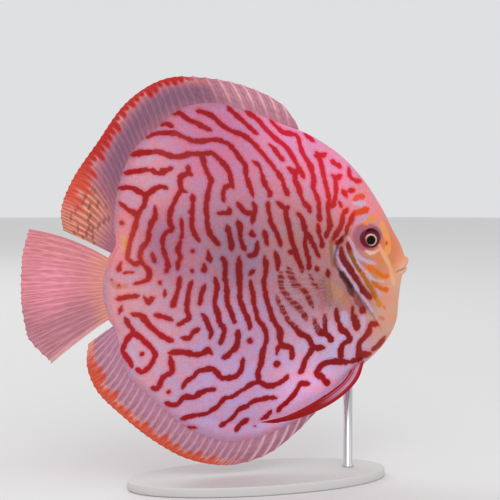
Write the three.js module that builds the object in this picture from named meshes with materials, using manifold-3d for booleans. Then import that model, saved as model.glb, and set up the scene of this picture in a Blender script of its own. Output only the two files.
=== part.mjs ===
// A life-size model of a discus fish, swimming, on a plain display stand.
// Millimetres, +Z up. The fish faces +X, its right flank faces -Y, and the origin is the middle of
// the stand's underside. The fish is drawn in a frame of its own, whose origin is about the middle
// of its length, and one group lifts it to its place over the stand.
import * as THREE from 'three';
import Module from 'manifold-3d';

// The gap that is left between neighbouring pieces
const GAP = 0.3;

// Where the fish's own frame stands over the middle of the stand's underside
const FISH_X = -4;
const FISH_Z = 100.6;

// The body disc seen from the side, in the fish's frame, from the snout up over the back and round
const BODY_OUTLINE = [
  [72.2, -7], [70.2, 0.5], [65.6, 8.7], [61.2, 17], [52, 30.2], [42.7, 39.6], [32, 46.8],
  [22, 51.4], [2, 56.3], [-20, 56], [-38.8, 47], [-50.2, 31], [-56, 11], [-57.8, 2.6],
  [-60.4, -2.2], [-60.9, -15], [-60.4, -27.4], [-57.6, -33], [-49.5, -46.4], [-35.6, -62],
  [-18, -72.2], [2, -75.2], [22, -70.2], [40, -61], [53, -51], [62.5, -42.2], [67.8, -33],
  [69, -23], [70.4, -13.5],
];

// The thickest place of the body, from which its flanks fall away to the outline
const MIDDLE = { x: 13, z: -9 };
const HALF_THICKNESS = 14.2;

// How a flank falls away, by the direction in degrees from MIDDLE: half the thickness left at the
// outline, the power of the distance, and the root that rounds the edge over
const FLANK_KEYS = [
  { at: 0, edge: 0.5, power: 2.4, root: 2 },
  { at: 40, edge: 0.5, power: 2.3, root: 1.9 },
  { at: 66, edge: 0.7, power: 2.1, root: 1.6 },
  { at: 84, edge: 1.3, power: 1.9, root: 1.15 },
  { at: 165, edge: 1.3, power: 1.7, root: 1 },
  { at: 180, edge: 3, power: 1.5, root: 1 },
  { at: 188, edge: 3, power: 1.5, root: 1 },
  { at: 203, edge: 1.3, power: 1.7, root: 1 },
  { at: 288, edge: 1.3, power: 1.9, root: 1.15 },
  { at: 306, edge: 0.7, power: 2.1, root: 1.6 },
  { at: 330, edge: 0.5, power: 2.3, root: 1.9 },
  { at: 360, edge: 0.5, power: 2.4, root: 2 },
];

// The tail end of the body sweeps gently to the fish's right
const BEND_FROM_X = -12;
const BEND_RATE = 0.0014;

// How finely the body disc is meshed
const BODY_SPOKES = 72;
const BODY_RINGS = 9;

// Eyes
const EYE = { x: 52.6, z: 5, radius: 5.2, bulge: 1.9 };
const EYE_RIM = { radius: 4.9, tube: 0.85 };

// Nostrils
const NOSTRIL = { x: 60.2, z: 2.4, radius: 0.7, depth: 1.1, rimRadius: 1, rimTube: 0.4 };

// Lips: each is a round bar bent in a U round the snout
const LIPS = [
  { front: [72.2, -5.4], corner: [65.6, -10.2], halfWidth: 5.6, thick: 1.65 },
  { front: [71.6, -8.9], corner: [65.3, -12.2], halfWidth: 5.2, thick: 1.55 },
];

// Gill covers: the free rear edge of the flap from its top to the throat, and its front edge
const GILL_REAR = [[41.2, 7.4], [38, 4.6], [35.2, 0.2], [34.5, -5], [37.2, -10], [45.4, -19.5],
  [52.6, -28.6], [59.6, -38]];
const GILL_FRONT = [[61.8, -36.6], [60.2, -27], [56.4, -17.8], [51.8, -10.6], [47, -5.4],
  [43.9, -1.4], [43.4, 2.6], [42.9, 6]];
const GILL_THICK = 1.3;
const GILL_RISE = 0.55;
const GILL_SLIT = 0.9;

// Where the body is parted: the line behind the gills, and a ring round the foot of the tail fin
const NECK_LINE = [[17, 70], [26, 40], [35, 18], [39.6, 0], [43.2, -10], [50, -20], [56.4, -30],
  [61.5, -41], [75, -62]];
const STALK = { x: -63.5, z: -15, radius: 18 };

// Fins. Rays are spread from the root curve to the edge curve. The share of the edge at which a ray
// ends is its share of the root to the power of sweep, which leans the rays back.
const DORSAL = {
  edge: [[20.6, 55], [14.6, 62.6], [1.3, 69.2], [-17.8, 73.2], [-37.5, 72.4], [-54, 62.6],
    [-68, 44.6], [-78.4, 29.6], [-83, 18], [-82.2, 9.8]],
  rootFrom: [22, 51.4], rootTo: [-60, -0.8], sweep: 0.8, spines: 9, softRays: 21,
};
const ANAL = {
  edge: [[36.6, -65.6], [29, -72.6], [20.6, -80.6], [8, -89], [-9, -92.6], [-27, -89.2],
    [-42, -80.8], [-58, -67.6], [-68.4, -56.6], [-72.4, -46], [-71.8, -37.4]],
  rootFrom: [38, -62.2], rootTo: [-59.8, -30], sweep: 0.8, spines: 7, softRays: 19,
};
const MEDIAN_FIN = { rootHalf: 1.3, rayHalf: 0.5, webHalf: 0.28, notch: 1.1, bow: 0.16, rows: 5,
  standBack: 0.05 };

const CAUDAL = {
  rootX: -61.3, rootTop: -2.8, rootBottom: -26.8, rays: 14, rows: 7,
  length: [39.5, 40.5, 40.5, 39.5, 32.5], spread: [20, 9, -3, -16, -32], flattening: 0.6,
  turnFrom: 5, turnTo: 24, rootHalf: 2.1, rayHalf: 0.5, webHalf: 0.28, notch: 0.9,
};

const PECTORAL = {
  root: [[29.8, -11.6], [31.6, -22.2]], rays: 11, rows: 6,
  length: [25, 29, 28, 22, 15], spread: [16, 2, -15, -36, -58],
  splay: 27, cup: 9, rootHalf: 0.9, rayHalf: 0.42, webHalf: 0.26, notch: 0.7,
};

// The fleshy lobe in front of each pectoral fin
const SHOULDER = { x: 35.9, z: -16.6, length: 8.4, width: 14, rise: 1.4, lean: 12 };

const PELVIC = {
  front: [[51, -48.8], [47, -57.4], [37.6, -65.4], [24, -71.4], [12, -73.8], [2.6, -73.6]],
  back: [[45, -54], [42.2, -56.6], [34.2, -62], [23.4, -67.6], [12.7, -71.7], [4, -73.2]],
  rays: 6, rows: 10, flareY: 4.6, rootHalf: 1, rayHalf: 0.5, webHalf: 0.28,
};

// The stand: an oval base and one upright rod to the breast
const BASE = { length: 116, width: 54, height: 4, roundOver: 0.8 };
const ROD = { x: 45.5, radius: 2 };

const wasm = await Module();
wasm.setup();

const radians = THREE.MathUtils.degToRad;
const lerp = THREE.MathUtils.lerp;
const smooth = (t) => THREE.MathUtils.smoothstep(t, 0, 1);

// Smooth curve through points of the side view
function sideCurve(points, closed = false) {
  return new THREE.CatmullRomCurve3(points.map(([x, z]) => new THREE.Vector3(x, 0, z)), closed);
}

// The value of a list of evenly spaced numbers at share t, smoothed between them
function along(values, t) {
  const scaled = Math.min(Math.max(t, 0), 1) * (values.length - 1);
  const index = Math.min(Math.floor(scaled), values.length - 2);
  return lerp(values[index], values[index + 1], smooth(scaled - index));
}

function bendAt(x) {
  const past = Math.max(0, BEND_FROM_X - x);
  return -BEND_RATE * past * past;
}

// The outline as a distance from MIDDLE for each direction
const OUTLINE_STEPS = 1440;
const outlineSamples = sideCurve(BODY_OUTLINE, true)
  .getPoints(OUTLINE_STEPS)
  .map((p) => ({
    angle: (Math.atan2(p.z - MIDDLE.z, p.x - MIDDLE.x) + 2 * Math.PI) % (2 * Math.PI),
    reach: Math.hypot(p.x - MIDDLE.x, p.z - MIDDLE.z),
  }))
  .sort((a, b) => a.angle - b.angle);

function outlineReach(angle) {
  const wanted = (angle + 4 * Math.PI) % (2 * Math.PI);
  let low = 0;
  let high = outlineSamples.length - 1;
  if (wanted <= outlineSamples[0].angle || wanted >= outlineSamples[high].angle) {
    return outlineSamples[0].reach;
  }
  while (high - low > 1) {
    const mid = (low + high) >> 1;
    if (outlineSamples[mid].angle <= wanted) low = mid;
    else high = mid;
  }
  const from = outlineSamples[low];
  const to = outlineSamples[high];
  return lerp(from.reach, to.reach, (wanted - from.angle) / (to.angle - from.angle || 1));
}

// The three numbers of FLANK_KEYS in a direction
function flankAt(angle) {
  const degrees = (THREE.MathUtils.radToDeg(angle) + 720) % 360;
  const next = FLANK_KEYS.findIndex((key) => key.at >= degrees);
  const to = FLANK_KEYS[Math.max(next, 1)];
  const from = FLANK_KEYS[Math.max(next, 1) - 1];
  const t = smooth((degrees - from.at) / (to.at - from.at));
  return {
    edge: lerp(from.edge, to.edge, t),
    power: lerp(from.power, to.power, t),
    root: lerp(from.root, to.root, t),
  };
}

// Half the body's thickness at a share of the way from MIDDLE to the outline
function halfAt(angle, share) {
  const { edge, power, root } = flankAt(angle);
  return edge + (HALF_THICKNESS - edge) * Math.max(0, 1 - share ** power) ** (1 / root);
}

// Half the body's thickness over a point of the side view
function halfThickness(x, z) {
  const angle = Math.atan2(z - MIDDLE.z, x - MIDDLE.x);
  const share = Math.hypot(x - MIDDLE.x, z - MIDDLE.z) / outlineReach(angle);
  return halfAt(angle, Math.min(share, 1));
}

// The outward direction of a flank there. side is -1 for the right flank and 1 for the left.
function flankNormal(x, z, side) {
  const step = 0.5;
  const slopeX = (halfThickness(x + step, z) - halfThickness(x - step, z)) / (2 * step);
  const slopeZ = (halfThickness(x, z + step) - halfThickness(x, z - step)) / (2 * step);
  return new THREE.Vector3(-slopeX, side, -slopeZ).normalize();
}

function geometryFrom(positions, triangles) {
  const geometry = new THREE.BufferGeometry();
  geometry.setAttribute('position', new THREE.Float32BufferAttribute(positions, 3));
  geometry.setIndex(triangles);
  return geometry;
}

// A solid from a geometry, whose vertices are shared by rounding their places
function solidFrom(geometry) {
  const position = geometry.attributes.position;
  const index = geometry.index ? geometry.index.array : [...Array(position.count).keys()];
  const known = new Map();
  const vertProperties = [];
  const shared = [];
  for (let i = 0; i < position.count; i += 1) {
    const place = [position.getX(i), position.getY(i), position.getZ(i)];
    const key = place.map((value) => Math.round(value * 1e4)).join();
    if (!known.has(key)) {
      known.set(key, known.size);
      vertProperties.push(...place);
    }
    shared.push(known.get(key));
  }
  const triVerts = [];
  for (let i = 0; i < index.length; i += 3) {
    const corners = [shared[index[i]], shared[index[i + 1]], shared[index[i + 2]]];
    if (new Set(corners).size === 3) triVerts.push(...corners);
  }
  return new wasm.Manifold(new wasm.Mesh({
    numProp: 3,
    vertProperties: new Float32Array(vertProperties),
    triVerts: new Uint32Array(triVerts),
  }));
}

function geometryOf(solid) {
  const mesh = solid.getMesh();
  return geometryFrom(mesh.vertProperties, [...mesh.triVerts]);
}

function largest(solid) {
  return solid.decompose().sort((a, b) => b.volume() - a.volume())[0];
}

// The body disc, made thicker or thinner by grow on each flank
function bodySolid(grow = 0) {
  const positions = [];
  const triangles = [];
  const index = (side, ring, spoke) => side * (1 + BODY_RINGS * BODY_SPOKES)
    + (ring === 0 ? 0 : 1 + (ring - 1) * BODY_SPOKES + (spoke % BODY_SPOKES));
  for (const side of [-1, 1]) {
    for (let ring = 0; ring <= BODY_RINGS; ring += 1) {
      const share = Math.sin((Math.PI / 2) * (ring / BODY_RINGS) ** 0.96);
      for (let spoke = 0; spoke < (ring === 0 ? 1 : BODY_SPOKES); spoke += 1) {
        const angle = (2 * Math.PI * spoke) / BODY_SPOKES;
        const reach = share * outlineReach(angle);
        const x = MIDDLE.x + reach * Math.cos(angle);
        const z = MIDDLE.z + reach * Math.sin(angle);
        const half = Math.max(0.1, halfAt(angle, share) + grow);
        positions.push(x, bendAt(x) + side * half, z);
      }
    }
  }
  for (const side of [0, 1]) {
    const face = (a, b, c) => triangles.push(...(side === 0 ? [a, b, c] : [a, c, b]));
    for (let spoke = 0; spoke < BODY_SPOKES; spoke += 1) {
      face(index(side, 0, 0), index(side, 1, spoke), index(side, 1, spoke + 1));
      for (let ring = 1; ring < BODY_RINGS; ring += 1) {
        const inner = [index(side, ring, spoke), index(side, ring, spoke + 1)];
        const outer = [index(side, ring + 1, spoke), index(side, ring + 1, spoke + 1)];
        face(inner[0], outer[0], outer[1]);
        face(inner[0], outer[1], inner[1]);
      }
    }
  }
  for (let spoke = 0; spoke < BODY_SPOKES; spoke += 1) {
    const right = [index(0, BODY_RINGS, spoke), index(0, BODY_RINGS, spoke + 1)];
    const left = [index(1, BODY_RINGS, spoke), index(1, BODY_RINGS, spoke + 1)];
    triangles.push(right[0], left[0], left[1], right[0], left[1], right[1]);
  }
  return solidFrom(geometryFrom(positions, triangles));
}

// A closed shape of the side view carried straight through in Y, from one Y to another
function throughSolid(points, fromY, toY) {
  const shape = new THREE.Shape(points.map(([x, z]) => new THREE.Vector2(x, z)));
  const geometry = new THREE.ExtrudeGeometry(shape, { depth: toY - fromY, bevelEnabled: false });
  geometry.rotateX(Math.PI / 2);
  geometry.translate(0, toY, 0);
  return solidFrom(geometry);
}

// The points of a side-view line moved sideways by a distance
function offsetLine(points, distance) {
  return points.map(([x, z], i) => {
    const before = points[Math.max(i - 1, 0)];
    const after = points[Math.min(i + 1, points.length - 1)];
    const run = Math.hypot(after[0] - before[0], after[1] - before[1]);
    return [
      x - (distance * (after[1] - before[1])) / run,
      z + (distance * (after[0] - before[0])) / run,
    ];
  });
}

function smoothLine(points, pieces) {
  return sideCurve(points).getPoints(pieces).map((p) => [p.x, p.z]);
}

// A thin cut along a side-view line, GAP wide
function cutAlong(points) {
  const far = 60;
  return throughSolid(
    [...offsetLine(points, GAP / 2), ...offsetLine(points, -GAP / 2).reverse()], -far, far,
  );
}

// A round bar along a curve, with a thickness for each share of its length and round ends
function barSolid(curve, thicknessAt, steps, sides) {
  const positions = [];
  const triangles = [];
  const frames = curve.computeFrenetFrames(steps, false);
  const endRings = 3;
  const rings = [];
  for (let i = endRings; i >= 1; i -= 1) rings.push({ at: 0, cap: -i / endRings });
  for (let i = 0; i <= steps; i += 1) rings.push({ at: i, cap: 0 });
  for (let i = 1; i <= endRings; i += 1) rings.push({ at: steps, cap: i / endRings });
  rings.forEach(({ at, cap }) => {
    const thick = thicknessAt(at / steps);
    const centre = curve.getPointAt(at / steps)
      .addScaledVector(frames.tangents[at], thick * Math.sin((cap * Math.PI) / 2));
    const radius = Math.max(thick * Math.cos((cap * Math.PI) / 2), 0.02);
    for (let k = 0; k < sides; k += 1) {
      const turn = (2 * Math.PI * k) / sides;
      const point = centre.clone()
        .addScaledVector(frames.normals[at], radius * Math.cos(turn))
        .addScaledVector(frames.binormals[at], radius * Math.sin(turn));
      positions.push(point.x, point.y, point.z);
    }
  });
  const last = rings.length - 1;
  for (let ring = 0; ring < last; ring += 1) {
    for (let k = 0; k < sides; k += 1) {
      const a = ring * sides + k;
      const b = ring * sides + ((k + 1) % sides);
      triangles.push(a, b, b + sides, a, b + sides, a + sides);
    }
  }
  for (let k = 1; k < sides - 1; k += 1) {
    triangles.push(0, k + 1, k, last * sides, last * sides + k, last * sides + k + 1);
  }
  return solidFrom(geometryFrom(positions, triangles));
}

function lipSolid({ front, corner, halfWidth, thick }) {
  const turnX = lerp(corner[0], front[0], 0.62);
  const turnZ = lerp(corner[1], front[1], 0.6);
  const curve = new THREE.CatmullRomCurve3([
    new THREE.Vector3(corner[0], -halfWidth, corner[1]),
    new THREE.Vector3(turnX, -halfWidth * 0.82, turnZ),
    new THREE.Vector3(front[0], 0, front[1]),
    new THREE.Vector3(turnX, halfWidth * 0.82, turnZ),
    new THREE.Vector3(corner[0], halfWidth, corner[1]),
  ]);
  const thicknessAt = (t) => thick * lerp(0.55, 1, Math.sin(Math.PI * t) ** 0.7);
  return barSolid(curve, thicknessAt, 14, 8);
}

// Turns a shape whose axis is +Z so that it points along a direction, at a place
function aimed(geometry, place, direction) {
  const turn = new THREE.Quaternion().setFromUnitVectors(new THREE.Vector3(0, 0, 1), direction);
  return geometry.applyQuaternion(turn).translate(place.x, place.y, place.z);
}

function onFlank(x, z, side, out = 0) {
  const place = new THREE.Vector3(x, side * halfThickness(x, z), z);
  return place.addScaledVector(flankNormal(x, z, side), out);
}

function eyeCentre(side) {
  return onFlank(EYE.x, EYE.z, side, EYE.bulge - EYE.radius);
}

function eyeRimSolid(side) {
  const rim = new THREE.TorusGeometry(EYE_RIM.radius, EYE_RIM.tube, 7, 20);
  return solidFrom(aimed(rim, onFlank(EYE.x, EYE.z, side, 0.1), flankNormal(EYE.x, EYE.z, side)));
}

function nostrilRimSolid(side) {
  const rim = new THREE.TorusGeometry(NOSTRIL.rimRadius, NOSTRIL.rimTube, 6, 12);
  const place = onFlank(NOSTRIL.x, NOSTRIL.z, side, 0.02);
  return solidFrom(aimed(rim, place, flankNormal(NOSTRIL.x, NOSTRIL.z, side)));
}

function nostrilPitSolid(side) {
  const pit = new THREE.CylinderGeometry(NOSTRIL.radius, NOSTRIL.radius * 0.8, NOSTRIL.depth * 2, 10);
  pit.rotateX(Math.PI / 2);
  const place = onFlank(NOSTRIL.x, NOSTRIL.z, side);
  return solidFrom(aimed(pit, place, flankNormal(NOSTRIL.x, NOSTRIL.z, side)));
}

// A closed line of the side view made wider, by a distance of its own for each point
function widened(points, distances) {
  const count = points.length;
  const area = points.reduce((sum, [x, z], i) => {
    const next = points[(i + 1) % count];
    return sum + x * next[1] - next[0] * z;
  }, 0);
  const edgeNormal = (i) => {
    const [x, z] = points[i];
    const next = points[(i + 1) % count];
    return new THREE.Vector2(next[1] - z, x - next[0]).normalize().multiplyScalar(Math.sign(area));
  };
  return points.map(([x, z], i) => {
    const before = edgeNormal((i + count - 1) % count);
    const after = edgeNormal(i);
    const middle = before.clone().add(after).normalize();
    const reach = distances[i] / Math.max(middle.dot(after), 0.45);
    return [x + middle.x * reach, z + middle.y * reach];
  });
}

function shoulderSolid(side) {
  const lobe = new THREE.SphereGeometry(1, 16, 10);
  lobe.scale(SHOULDER.length / 2, SHOULDER.width / 2, SHOULDER.rise);
  lobe.rotateZ(radians(SHOULDER.lean) * side);
  const place = onFlank(SHOULDER.x, SHOULDER.z, side, -0.2);
  return solidFrom(aimed(lobe, place, flankNormal(SHOULDER.x, SHOULDER.z, side)));
}

// The flap of a gill cover and the pocket that it lies in, with a wider slit behind the free edge
const gillRear = smoothLine(GILL_REAR, 18);
const gillOutline = [...gillRear, ...smoothLine(GILL_FRONT, 10)];
const pocketOutline = widened(
  gillOutline, gillOutline.map((point, i) => (i > 0 && i < gillRear.length - 1 ? GILL_SLIT : 0.5)),
);

function sideRange(side) {
  return side < 0 ? [-40, -1] : [1, 40];
}

function gillCoverSolid(side, risen, inner) {
  const [from, to] = sideRange(side);
  return largest(throughSolid(gillOutline, from, to).intersect(risen).subtract(inner));
}

function gillPocketSolid(side, inner) {
  const [from, to] = sideRange(side);
  return throughSolid(pocketOutline, from, to).subtract(inner);
}

// A fin is a sheet with its rays as ridges. point(column, row) gives the middle of the sheet for
// shares of its width and length, and half(column, row, onRay) gives half of its thickness.
function finSolid({ rays, rows, point, half }) {
  const columns = 2 * rays - 1;
  const middle = [];
  for (let c = 0; c < columns; c += 1) {
    middle.push([...Array(rows + 1).keys()].map((r) => point(c / (columns - 1), r / rows, c % 2 === 0)));
  }
  const normalAt = (c, r) => {
    const acrossFin = middle[Math.min(c + 2, columns - 1)][r].clone()
      .sub(middle[Math.max(c - 2, 0)][r]);
    const alongFin = middle[c][Math.min(r + 1, rows)].clone().sub(middle[c][Math.max(r - 1, 0)]);
    return acrossFin.cross(alongFin).normalize();
  };
  const positions = [];
  const count = columns * (rows + 1);
  for (const face of [1, -1]) {
    for (let c = 0; c < columns; c += 1) {
      for (let r = 0; r <= rows; r += 1) {
        const place = middle[c][r].clone()
          .addScaledVector(normalAt(c, r), face * half(c / (columns - 1), r / rows, c % 2 === 0));
        positions.push(place.x, place.y, place.z);
      }
    }
  }
  const at = (c, r) => c * (rows + 1) + r;
  const triangles = [];
  for (let c = 0; c < columns - 1; c += 1) {
    for (let r = 0; r < rows; r += 1) {
      const [a, b, d, e] = [at(c, r), at(c + 1, r), at(c + 1, r + 1), at(c, r + 1)];
      triangles.push(a, b, d, a, d, e);
      triangles.push(count + a, count + d, count + b, count + a, count + e, count + d);
    }
  }
  const border = [];
  for (let c = 0; c < columns - 1; c += 1) border.push(at(c, 0));
  for (let r = 0; r < rows; r += 1) border.push(at(columns - 1, r));
  for (let c = columns - 1; c > 0; c -= 1) border.push(at(c, rows));
  for (let r = rows; r > 0; r -= 1) border.push(at(0, r));
  border.forEach((from, i) => {
    const to = border[(i + 1) % border.length];
    triangles.push(from, count + from, count + to, from, count + to, to);
  });
  const solid = solidFrom(geometryFrom(positions, triangles));
  if (solid.volume() > 0) return solid;
  for (let i = 0; i < triangles.length; i += 3) {
    [triangles[i + 1], triangles[i + 2]] = [triangles[i + 2], triangles[i + 1]];
  }
  return solidFrom(geometryFrom(positions, triangles));
}

function thinning(fin) {
  return (column, row, onRay) => lerp(fin.rootHalf, onRay ? fin.rayHalf : fin.webHalf, smooth(row * 1.6));
}

// The share of the closed outline at which a point lies
function outlineShare([x, z]) {
  const curve = sideCurve(BODY_OUTLINE, true);
  let best = { gap: Infinity, share: 0 };
  for (let i = 0; i < OUTLINE_STEPS; i += 1) {
    const p = curve.getPoint(i / OUTLINE_STEPS);
    const gap = Math.hypot(p.x - x, p.z - z);
    if (gap < best.gap) best = { gap, share: i / OUTLINE_STEPS };
  }
  return best.share;
}

// A fin along the back or the belly, cut to a range of its rays. Where its two parts meet, each
// stands back from the ray between them by a small share of the distance between rays.
function medianFinSolid(fin, fromRay, toRay) {
  const outline = sideCurve(BODY_OUTLINE, true);
  const edge = sideCurve(fin.edge);
  const shares = [outlineShare(fin.rootFrom), outlineShare(fin.rootTo)];
  const total = fin.spines + fin.softRays;
  const rays = toRay - fromRay + 1;
  const start = fromRay + (fromRay > 0 ? MEDIAN_FIN.standBack : 0);
  const end = toRay - (toRay < total - 1 ? MEDIAN_FIN.standBack : 0);
  const point = (column, row, onRay) => {
    const u = lerp(start, end, column) / (total - 1);
    const spiny = u * (total - 1) < fin.spines ? 1 : 0.6;
    const share = lerp(shares[0], shares[1], u);
    const onBody = outline.getPoint(share);
    const tangent = outline.getTangent(share);
    const outward = new THREE.Vector3(tangent.z, 0, -tangent.x);
    if (outward.dot(new THREE.Vector3(onBody.x - MIDDLE.x, 0, onBody.z - MIDDLE.z)) < 0) outward.negate();
    const root = onBody.clone().addScaledVector(outward, GAP + 0.05);
    const tip = edge.getPointAt(u ** fin.sweep);
    const length = tip.distanceTo(root);
    const turn = root.clone().lerp(tip, 0.5).addScaledVector(outward, length * MEDIAN_FIN.bow);
    const reach = onRay ? row : row * (1 - (MEDIAN_FIN.notch * spiny) / Math.max(length, 4));
    const place = new THREE.QuadraticBezierCurve3(root, turn, tip).getPoint(reach);
    place.y = bendAt(place.x) + 0.5 * row * row * Math.sin(u * 17);
    return place;
  };
  return finSolid({ rays, rows: MEDIAN_FIN.rows, point, half: thinning(MEDIAN_FIN) });
}

function caudalFinSolid() {
  const rootY = bendAt(CAUDAL.rootX);
  const point = (column, row, onRay) => {
    const z = lerp(CAUDAL.rootTop, CAUDAL.rootBottom, column);
    const length = along(CAUDAL.length, column) - (onRay ? 0 : CAUDAL.notch);
    const spread = radians(along(CAUDAL.spread, column));
    const flattening = spread > 0 ? CAUDAL.flattening : 0;
    const steps = 12;
    const place = new THREE.Vector3(CAUDAL.rootX - GAP, rootY, z);
    for (let i = 0; i < steps; i += 1) {
      const share = ((i + 0.5) / steps) * row;
      const turn = radians(lerp(CAUDAL.turnFrom, CAUDAL.turnTo, share));
      const angle = spread * (1 + flattening * (1 - 2 * share));
      const run = (length * row) / steps;
      place.x -= run * Math.cos(angle) * Math.cos(turn);
      place.y -= run * Math.cos(angle) * Math.sin(turn);
      place.z += run * Math.sin(angle);
    }
    place.y += 0.7 * row * row * Math.sin(column * 11);
    return place;
  };
  return finSolid({ rays: CAUDAL.rays, rows: CAUDAL.rows, point, half: thinning(CAUDAL) });
}

function pectoralFinSolid(side) {
  const [top, bottom] = PECTORAL.root;
  const point = (column, row, onRay) => {
    const x = lerp(top[0], bottom[0], column);
    const z = lerp(top[1], bottom[1], column);
    const root = onFlank(x, z, side, PECTORAL.rootHalf + GAP);
    const length = along(PECTORAL.length, column) - (onRay ? 0 : PECTORAL.notch);
    const angle = radians(along(PECTORAL.spread, column));
    const out = radians(PECTORAL.splay + PECTORAL.cup * (1 - 2 * row));
    const run = length * row;
    root.x -= run * Math.cos(angle) * Math.cos(out);
    root.y += side * run * Math.cos(angle * 0.6) * Math.sin(out);
    root.z += run * Math.sin(angle);
    return root;
  };
  return finSolid({ rays: PECTORAL.rays, rows: PECTORAL.rows, point, half: thinning(PECTORAL) });
}

function pelvicFinSolid(side) {
  const front = sideCurve(PELVIC.front);
  const back = sideCurve(PELVIC.back);
  const point = (column, row, onRay) => {
    const place = front.getPointAt(row).lerp(back.getPointAt(row), column);
    const root = front.getPointAt(0).lerp(back.getPointAt(0), column);
    const rootY = halfThickness(root.x, root.z);
    const besideBody = Math.max(halfThickness(place.x, place.z), lerp(rootY, 1, smooth(row * 1.4)));
    place.y = side * (besideBody + PELVIC.rootHalf + GAP + PELVIC.flareY * Math.sin(row * 2.2));
    return place;
  };
  const half = (column, row, onRay) => {
    const body = onRay ? PELVIC.rayHalf : PELVIC.webHalf;
    return lerp(PELVIC.rootHalf, body, smooth(row * 3));
  };
  return finSolid({ rays: PELVIC.rays, rows: PELVIC.rows, point, half });
}

// The stand
function baseGeometry() {
  const { height, roundOver } = BASE;
  const profile = [
    [0, 0], [1 - 0.02, 0], [1, roundOver * 0.6], [1, height - roundOver],
    [1 - 0.012, height - roundOver * 0.3], [1 - 0.04, height], [0, height],
  ].map(([share, z]) => new THREE.Vector2((share * BASE.length) / 2, z));
  const geometry = new THREE.LatheGeometry(profile, 44);
  geometry.rotateX(Math.PI / 2);
  geometry.scale(1, BASE.width / BASE.length, 1);
  return geometry;
}

function rodSolid(flesh) {
  const top = -40;
  const foot = BASE.height + GAP - FISH_Z;
  const rod = new THREE.CylinderGeometry(ROD.radius, ROD.radius, top - foot, 20);
  rod.rotateX(Math.PI / 2);
  rod.translate(ROD.x, 0, (top + foot) / 2);
  return solidFrom(rod).subtract(flesh);
}

// The whole body, then its parts
const flesh = bodySolid();
const risen = bodySolid(GILL_RISE);
const underFlap = bodySolid(-GILL_THICK);
const underPocket = bodySolid(-GILL_THICK - GAP);
const sides = { right: -1, left: 1 };

let whole = flesh;
for (const lip of LIPS) whole = whole.add(lipSolid(lip));
for (const side of Object.values(sides)) {
  whole = whole.add(eyeRimSolid(side)).add(nostrilRimSolid(side)).add(shoulderSolid(side));
  const socket = new THREE.SphereGeometry(EYE.radius + GAP, 20, 12);
  const centre = eyeCentre(side);
  whole = whole.subtract(solidFrom(socket.translate(centre.x, centre.y, centre.z)));
  whole = whole.subtract(nostrilPitSolid(side));
  whole = whole.subtract(gillPocketSolid(side, underPocket));
}
const neckParts = whole.subtract(cutAlong(smoothLine(NECK_LINE, 26)));
const beforeNeck = throughSolid([...smoothLine(NECK_LINE, 26), [120, -62], [120, 70]], -60, 60);
const headSolid = largest(neckParts.intersect(beforeNeck));
const behind = largest(neckParts.subtract(beforeNeck));
const ring = (radius) => {
  const disc = new THREE.CylinderGeometry(radius, radius, 100, 64);
  return solidFrom(disc.translate(STALK.x, 0, STALK.z));
};
const stalkSolid = largest(behind.intersect(ring(STALK.radius - GAP / 2)));
const torsoSolid = largest(behind.subtract(ring(STALK.radius + GAP / 2)));

// Looks
const skin = new THREE.MeshStandardMaterial({ color: 0xc9a3c4, roughness: 0.38, metalness: 0 });
const finSkin = new THREE.MeshStandardMaterial({ color: 0xd2908f, roughness: 0.45, metalness: 0 });
const redFin = new THREE.MeshStandardMaterial({ color: 0xa81c1c, roughness: 0.45, metalness: 0 });
const eyeShell = new THREE.MeshStandardMaterial({ color: 0x4a1018, roughness: 0.15, metalness: 0 });
const baseFinish = new THREE.MeshStandardMaterial({ color: 0xcdccca, roughness: 0.5, metalness: 0 });
const steel = new THREE.MeshStandardMaterial({ color: 0xb9bcc0, roughness: 0.3, metalness: 1 });

const model = new THREE.Group();
const fish = new THREE.Group();
fish.position.set(FISH_X, 0, FISH_Z);
model.add(fish);

function addTo(group, name, geometry, material) {
  const mesh = new THREE.Mesh(geometry, material);
  mesh.name = name;
  group.add(mesh);
}

addTo(fish, 'head', geometryOf(headSolid), skin);
addTo(fish, 'torso', geometryOf(torsoSolid), skin);
addTo(fish, 'tail_stalk', geometryOf(stalkSolid), skin);
for (const [fin, name] of [[DORSAL, 'dorsal_fin'], [ANAL, 'anal_fin']]) {
  const last = fin.spines + fin.softRays - 1;
  addTo(fish, `${name}_spiny`, geometryOf(medianFinSolid(fin, 0, fin.spines)), finSkin);
  addTo(fish, `${name}_soft`, geometryOf(medianFinSolid(fin, fin.spines, last)), finSkin);
}
addTo(fish, 'caudal_fin', geometryOf(caudalFinSolid()), finSkin);
for (const [name, side] of Object.entries(sides)) {
  const centre = eyeCentre(side);
  const eye = new THREE.SphereGeometry(EYE.radius, 20, 12).translate(centre.x, centre.y, centre.z);
  addTo(fish, `eye_${name}`, geometryOf(solidFrom(eye)), eyeShell);
  addTo(fish, `gill_cover_${name}`, geometryOf(gillCoverSolid(side, risen, underFlap)), skin);
  addTo(fish, `pectoral_fin_${name}`, geometryOf(pectoralFinSolid(side)), finSkin);
  addTo(fish, `pelvic_fin_${name}`, geometryOf(pelvicFinSolid(side)), redFin);
}
addTo(model, 'stand_base', geometryOf(solidFrom(baseGeometry())), baseFinish);
addTo(fish, 'stand_rod', geometryOf(rodSolid(bodySolid(GAP))), steel);

export default model;
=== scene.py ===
# %% [markdown]
# # A discus fish, as a life-size model on a stand
# A discus is a fish that is nearly as deep as it is long and hardly thicker than a hand. The packed
# CAD model gives its true sizes, and this lesson dresses it: one smooth skin over the plain solids,
# fins with fine rays, glassy eyes, and the winding red lines that cover the flanks.
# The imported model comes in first, because every later piece is set against it.

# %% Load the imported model
import math

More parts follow.
